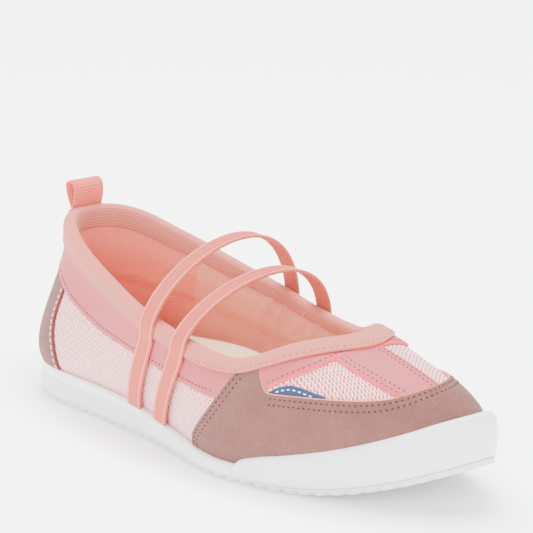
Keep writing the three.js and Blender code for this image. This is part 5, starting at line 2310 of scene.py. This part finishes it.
    def profile(self) -> Array:
        """The strap's section: flat, with two raised ridges near its edges.

        Returns:
            The section, a row for each corner.
        """
        half, h = self.width / 2, self.thick / 2
        top = [(-half + 0.1, h * 0.55), (-half + 0.45, h * 0.95), (-4.1, h + 0.05),
               (-3.7, h + 0.22), (-3.3, h + 0.06),
               (-2.9, h - 0.06), (-2.4, h), (-1.2, h + 0.02), (0, h + 0.03)]
        top += [(-x, z) for x, z in top[-2::-1]]
        side = [(half, 0.0)]
        bottom = [(half - 0.15, -h * 0.6), (half - 0.5, -h), (0, -h), (-half + 0.5, -h),
                  (-half + 0.15, -h * 0.6), (-half, 0.0)]
        return np.array(top + side + bottom)


@dataclass
class PullTab:
    """Ribbed webbing loop at the back of the heel."""

    last: Last
    finishes: Finishes
    width: float = 16.0
    height: float = 12.0
    bulge: float = 4.3
    ply: float = 1.0
    lean: float = 0.12
    sink: float = 1.2

    def build(self) -> list[bpy.types.Object]:
        """Makes the sewn-down end and the loop.

        Returns:
            The pieces.
        """
        tail = self.tail()
        loop = self.loop()
        return [tail, loop]

    def tail(self) -> bpy.types.Object:
        """The end that is sewn over the binding.

        Returns:
            The piece.
        """
        f = np.linspace(0, 1, 24)
        y = np.linspace(-1, 1, 17)
        half = self.width / 2
        rim = self.last.topline(np.linspace(-0.3, 0.3, 601))[:, 1]
        qs = np.interp(y * half, rim[::-1] if rim[0] > rim[-1] else rim,
                       np.linspace(-0.3, 0.3, 601)[::-1] if rim[0] > rim[-1] else np.linspace(-0.3,
                                                                                              0.3,
                                                                                              601))
        t = 0.86 + 0.165 * f
        lift = 1.9 + 1.0 * eased(0.868, 0.895, t) - 0.5 * eased(1.0, 1.02, t)
        outer = np.stack([self.last.place(qs, np.full(17, a), b + 0.75) for a, b in zip(t, lift)])
        inner = np.stack([self.last.place(qs, np.full(17, a), b - 0.25) for a, b in zip(t, lift)])
        points = np.concatenate([outer.reshape(-1, 3), inner.reshape(-1, 3)])
        count = 24 * 17
        top = grid_faces(24, 17, False, False)
        faces = top + [tuple(i + count for i in reversed(g)) for g in top]
        border = [k for k in range(17)] + [r * 17 + 16 for r in range(1, 24)]
        border += [23 * 17 + k for k in range(15, -1, -1)] + [r * 17 for r in range(22, 0, -1)]
        for a, b in zip(border, border[1:] + border[:1]):
            faces.append((b, a, a + count, b + count))
        uv = np.stack(np.broadcast_arrays((t * 60)[:, None], (y * half)[None, :]), -1).reshape(-1,
                                                                                               2)
        obj = dress(make_object("tab_end", points, faces, np.concatenate([uv, uv])),
                    self.finishes["webbing"])
        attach(obj, SHOE)
        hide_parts("pull_tab_tail")
        return obj

    def loop(self) -> bpy.types.Object:
        """The free loop above the heel.

        Returns:
            The piece.
        """
        low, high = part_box("pull_tab_loop")
        foot = np.array([(low[0] + high[0]) / 2, (low[1] + high[1]) / 2,
                         low[2] - self.sink * MM]) / MM - SHIFT
        b, h = self.bulge, self.height
        shape = [(0, -0.9), (b * 0.34, 1.2), (b * 0.78, h * 0.55), (b * 0.72, h - 1.2),
                 (0, h + 0.4),
                 (-b * 0.72, h - 1.2), (-b * 0.78, h * 0.55), (-b * 0.34, 1.2)]
        pts = np.array(shape + shape[:3], float)
        dense = path_through(pts, 300)
        start = int(np.argmin(np.linalg.norm(dense[:150] - shape[1], axis=1)))
        end = 150 + int(np.argmin(np.linalg.norm(dense[150:] - shape[1], axis=1)))
        ring = evenly(dense[start:end + 1], 97)[:-1]
        run = unit(np.roll(ring, -1, 0) - np.roll(ring, 1, 0))
        out = np.stack([run[:, 1], -run[:, 0]], -1)
        out *= np.sign(np.sum(out * (ring - ring.mean(0)), 1, keepdims=True).mean())
        half = self.width / 2
        profile = [(-half, -0.3), (-half + 0.25, 0.0), (-half * 0.5, 0.02), (0, 0.03),
                   (half * 0.5, 0.02), (half - 0.25, 0.0),
                   (half, -0.3), (half, -self.ply + 0.3), (half - 0.25, -self.ply), (0, -self.ply),
                   (-half + 0.25, -self.ply),
                   (-half, -self.ply + 0.3)]
        rows = []
        for w, d in profile:
            p = ring + out * d
            rows.append(foot + np.stack([p[:, 0] - self.lean * p[:, 1], np.full(len(p), w),
                                         p[:, 1]], -1))
        sections = np.stack(rows, 1)
        way = np.concatenate([[0], np.cumsum(np.linalg.norm(np.diff(ring, axis=0), axis=1))])
        uv = np.stack(np.broadcast_arrays(way[:, None], np.array(profile)[None, :, 0]), -1)
        obj = dress(swept("tab_loop", sections, True, uv), self.finishes["webbing"])
        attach(obj, PULL_TAB)
        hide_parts("pull_tab_loop")
        return obj


@dataclass(frozen=True)
class Studio:
    """Camera, floor and lights."""

    azimuth: float = 50.13
    elevation: float = 14.77
    distance: float = 1.163
    lens: float = 189.6
    aim: tuple[float, float, float] = (0.00807, 0.00305, 0.07546)
    room: float = 1.75
    # one over the half sizes of the oval of painted shadow round the shoe on the floor
    footprint: tuple[float, float, float] = (7.1, 19.0, 0.0)
    lamps: tuple[tuple[str, tuple[float, float, float], float, float], ...] = (
        ("top", (-0.25, 0.35, 1.6), 1.0, 68.0),
        ("front", (1.2, -1.5, 1.2), 1.2, 36.0),
        ("left", (-1.7, -0.9, 1.0), 1.2, 22.0),
    )

    def camera(self) -> None:
        """Sets up the camera."""
        a, e = math.radians(self.azimuth), math.radians(self.elevation)
        back = Vector((math.sin(a) * math.cos(e), -math.cos(a) * math.cos(e), math.sin(e)))
        data = bpy.data.cameras.new("view")
        data.lens, data.sensor_width = self.lens, 36.0
        cam = bpy.data.objects.new("view", data)
        cam.location = Vector(self.aim) + back * self.distance
        cam.rotation_euler = back.to_track_quat("Z", "Y").to_euler()
        bpy.context.scene.collection.objects.link(cam)
        bpy.context.scene.camera = cam

    def floor(self) -> None:
        """Lays the pale, evenly glowing floor, with a painted shadow round the shoe."""
        mesh = bpy.data.meshes.new("floor")
        s = 30.0
        mesh.from_pydata([(-s, -s, 0), (s, -s, 0), (s, s, 0), (-s, s, 0)], [], [(0, 1, 2, 3)])
        obj = bpy.data.objects.new("floor", mesh)
        bpy.context.scene.collection.objects.link(obj)
        shader = Shader("floor")
        cloud = shader.noise(shader.place(1.0), 0.4, 2.0)
        # The floor glows evenly except in an oval round the shoe, where the glow is cut to a painted shadow.
        near = shader.node("ShaderNodeVectorMath", {"operation": "MULTIPLY"},
                           {0: shader.place(1.0), 1: self.footprint})
        away = shader.node("ShaderNodeVectorMath", {"operation": "LENGTH"}, {0: near}, "Value")
        glow_with_painted_shadow = shader.blend(away.ramp(0.85, 1.3), (0.12, 0.12, 0.12), (1.0, 1.0, 1.0))
        mesh.materials.append(shader.finish(Base_Color=shader.blend(cloud, (0.9, 0.9, 0.9),
                                                                    (0.92, 0.92, 0.92)),
                                            Roughness=0.9, Specular_IOR_Level=0.1,
                                            Emission_Color=glow_with_painted_shadow, Emission_Strength=2.6))

    def lights(self) -> None:
        """Hangs the soft boxes and sets the room's light."""
        world = bpy.data.worlds.new("room")
        bpy.context.scene.world = world
        world.use_nodes = True
        back = world.node_tree.nodes["Background"]
        back.inputs[0].default_value = (1, 1, 1, 1)
        back.inputs[1].default_value = self.room
        for name, spot, size, power in self.lamps:
            data = bpy.data.lights.new(name, "AREA")
            data.size, data.energy = size, power
            lamp = bpy.data.objects.new(name, data)
            lamp.location = spot
            lamp.rotation_euler = (Vector(spot) - Vector((0, 0, 0.04))).to_track_quat("Z",
                                                                                      "Y").to_euler()
            bpy.context.scene.collection.objects.link(lamp)


def report(pieces: Sequence[bpy.types.Object]) -> None:
    """Logs each piece's size."""
    for obj in pieces:
        LOG.info("%s: %d faces, %s", obj.name, len(obj.data.polygons),
                 [round(v * 1000, 1) for v in obj.dimensions])


def main() -> None:
    """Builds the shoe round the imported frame."""
    logging.basicConfig(level=logging.INFO, format="%(message)s")
    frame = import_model()
    NODES.update({n: bpy.data.objects[n] for n in frame["nodes"]})
    studio = Studio()
    studio.camera()
    last = Last()
    finishes = Palette().make()
    stitches = StitchTree()
    inside = Inside(last, finishes)
    report(SoleUnit(last, finishes).build())
    report(Upper(last, finishes, stitches).build())
    report(inside.build())
    report(Collar(last, finishes, stitches).build(inside.face))
    report(Straps(last, finishes, stitches).build())
    report(PullTab(last, finishes).build())
    studio.floor()
    studio.lights()


if __name__ == "__main__":
    main()
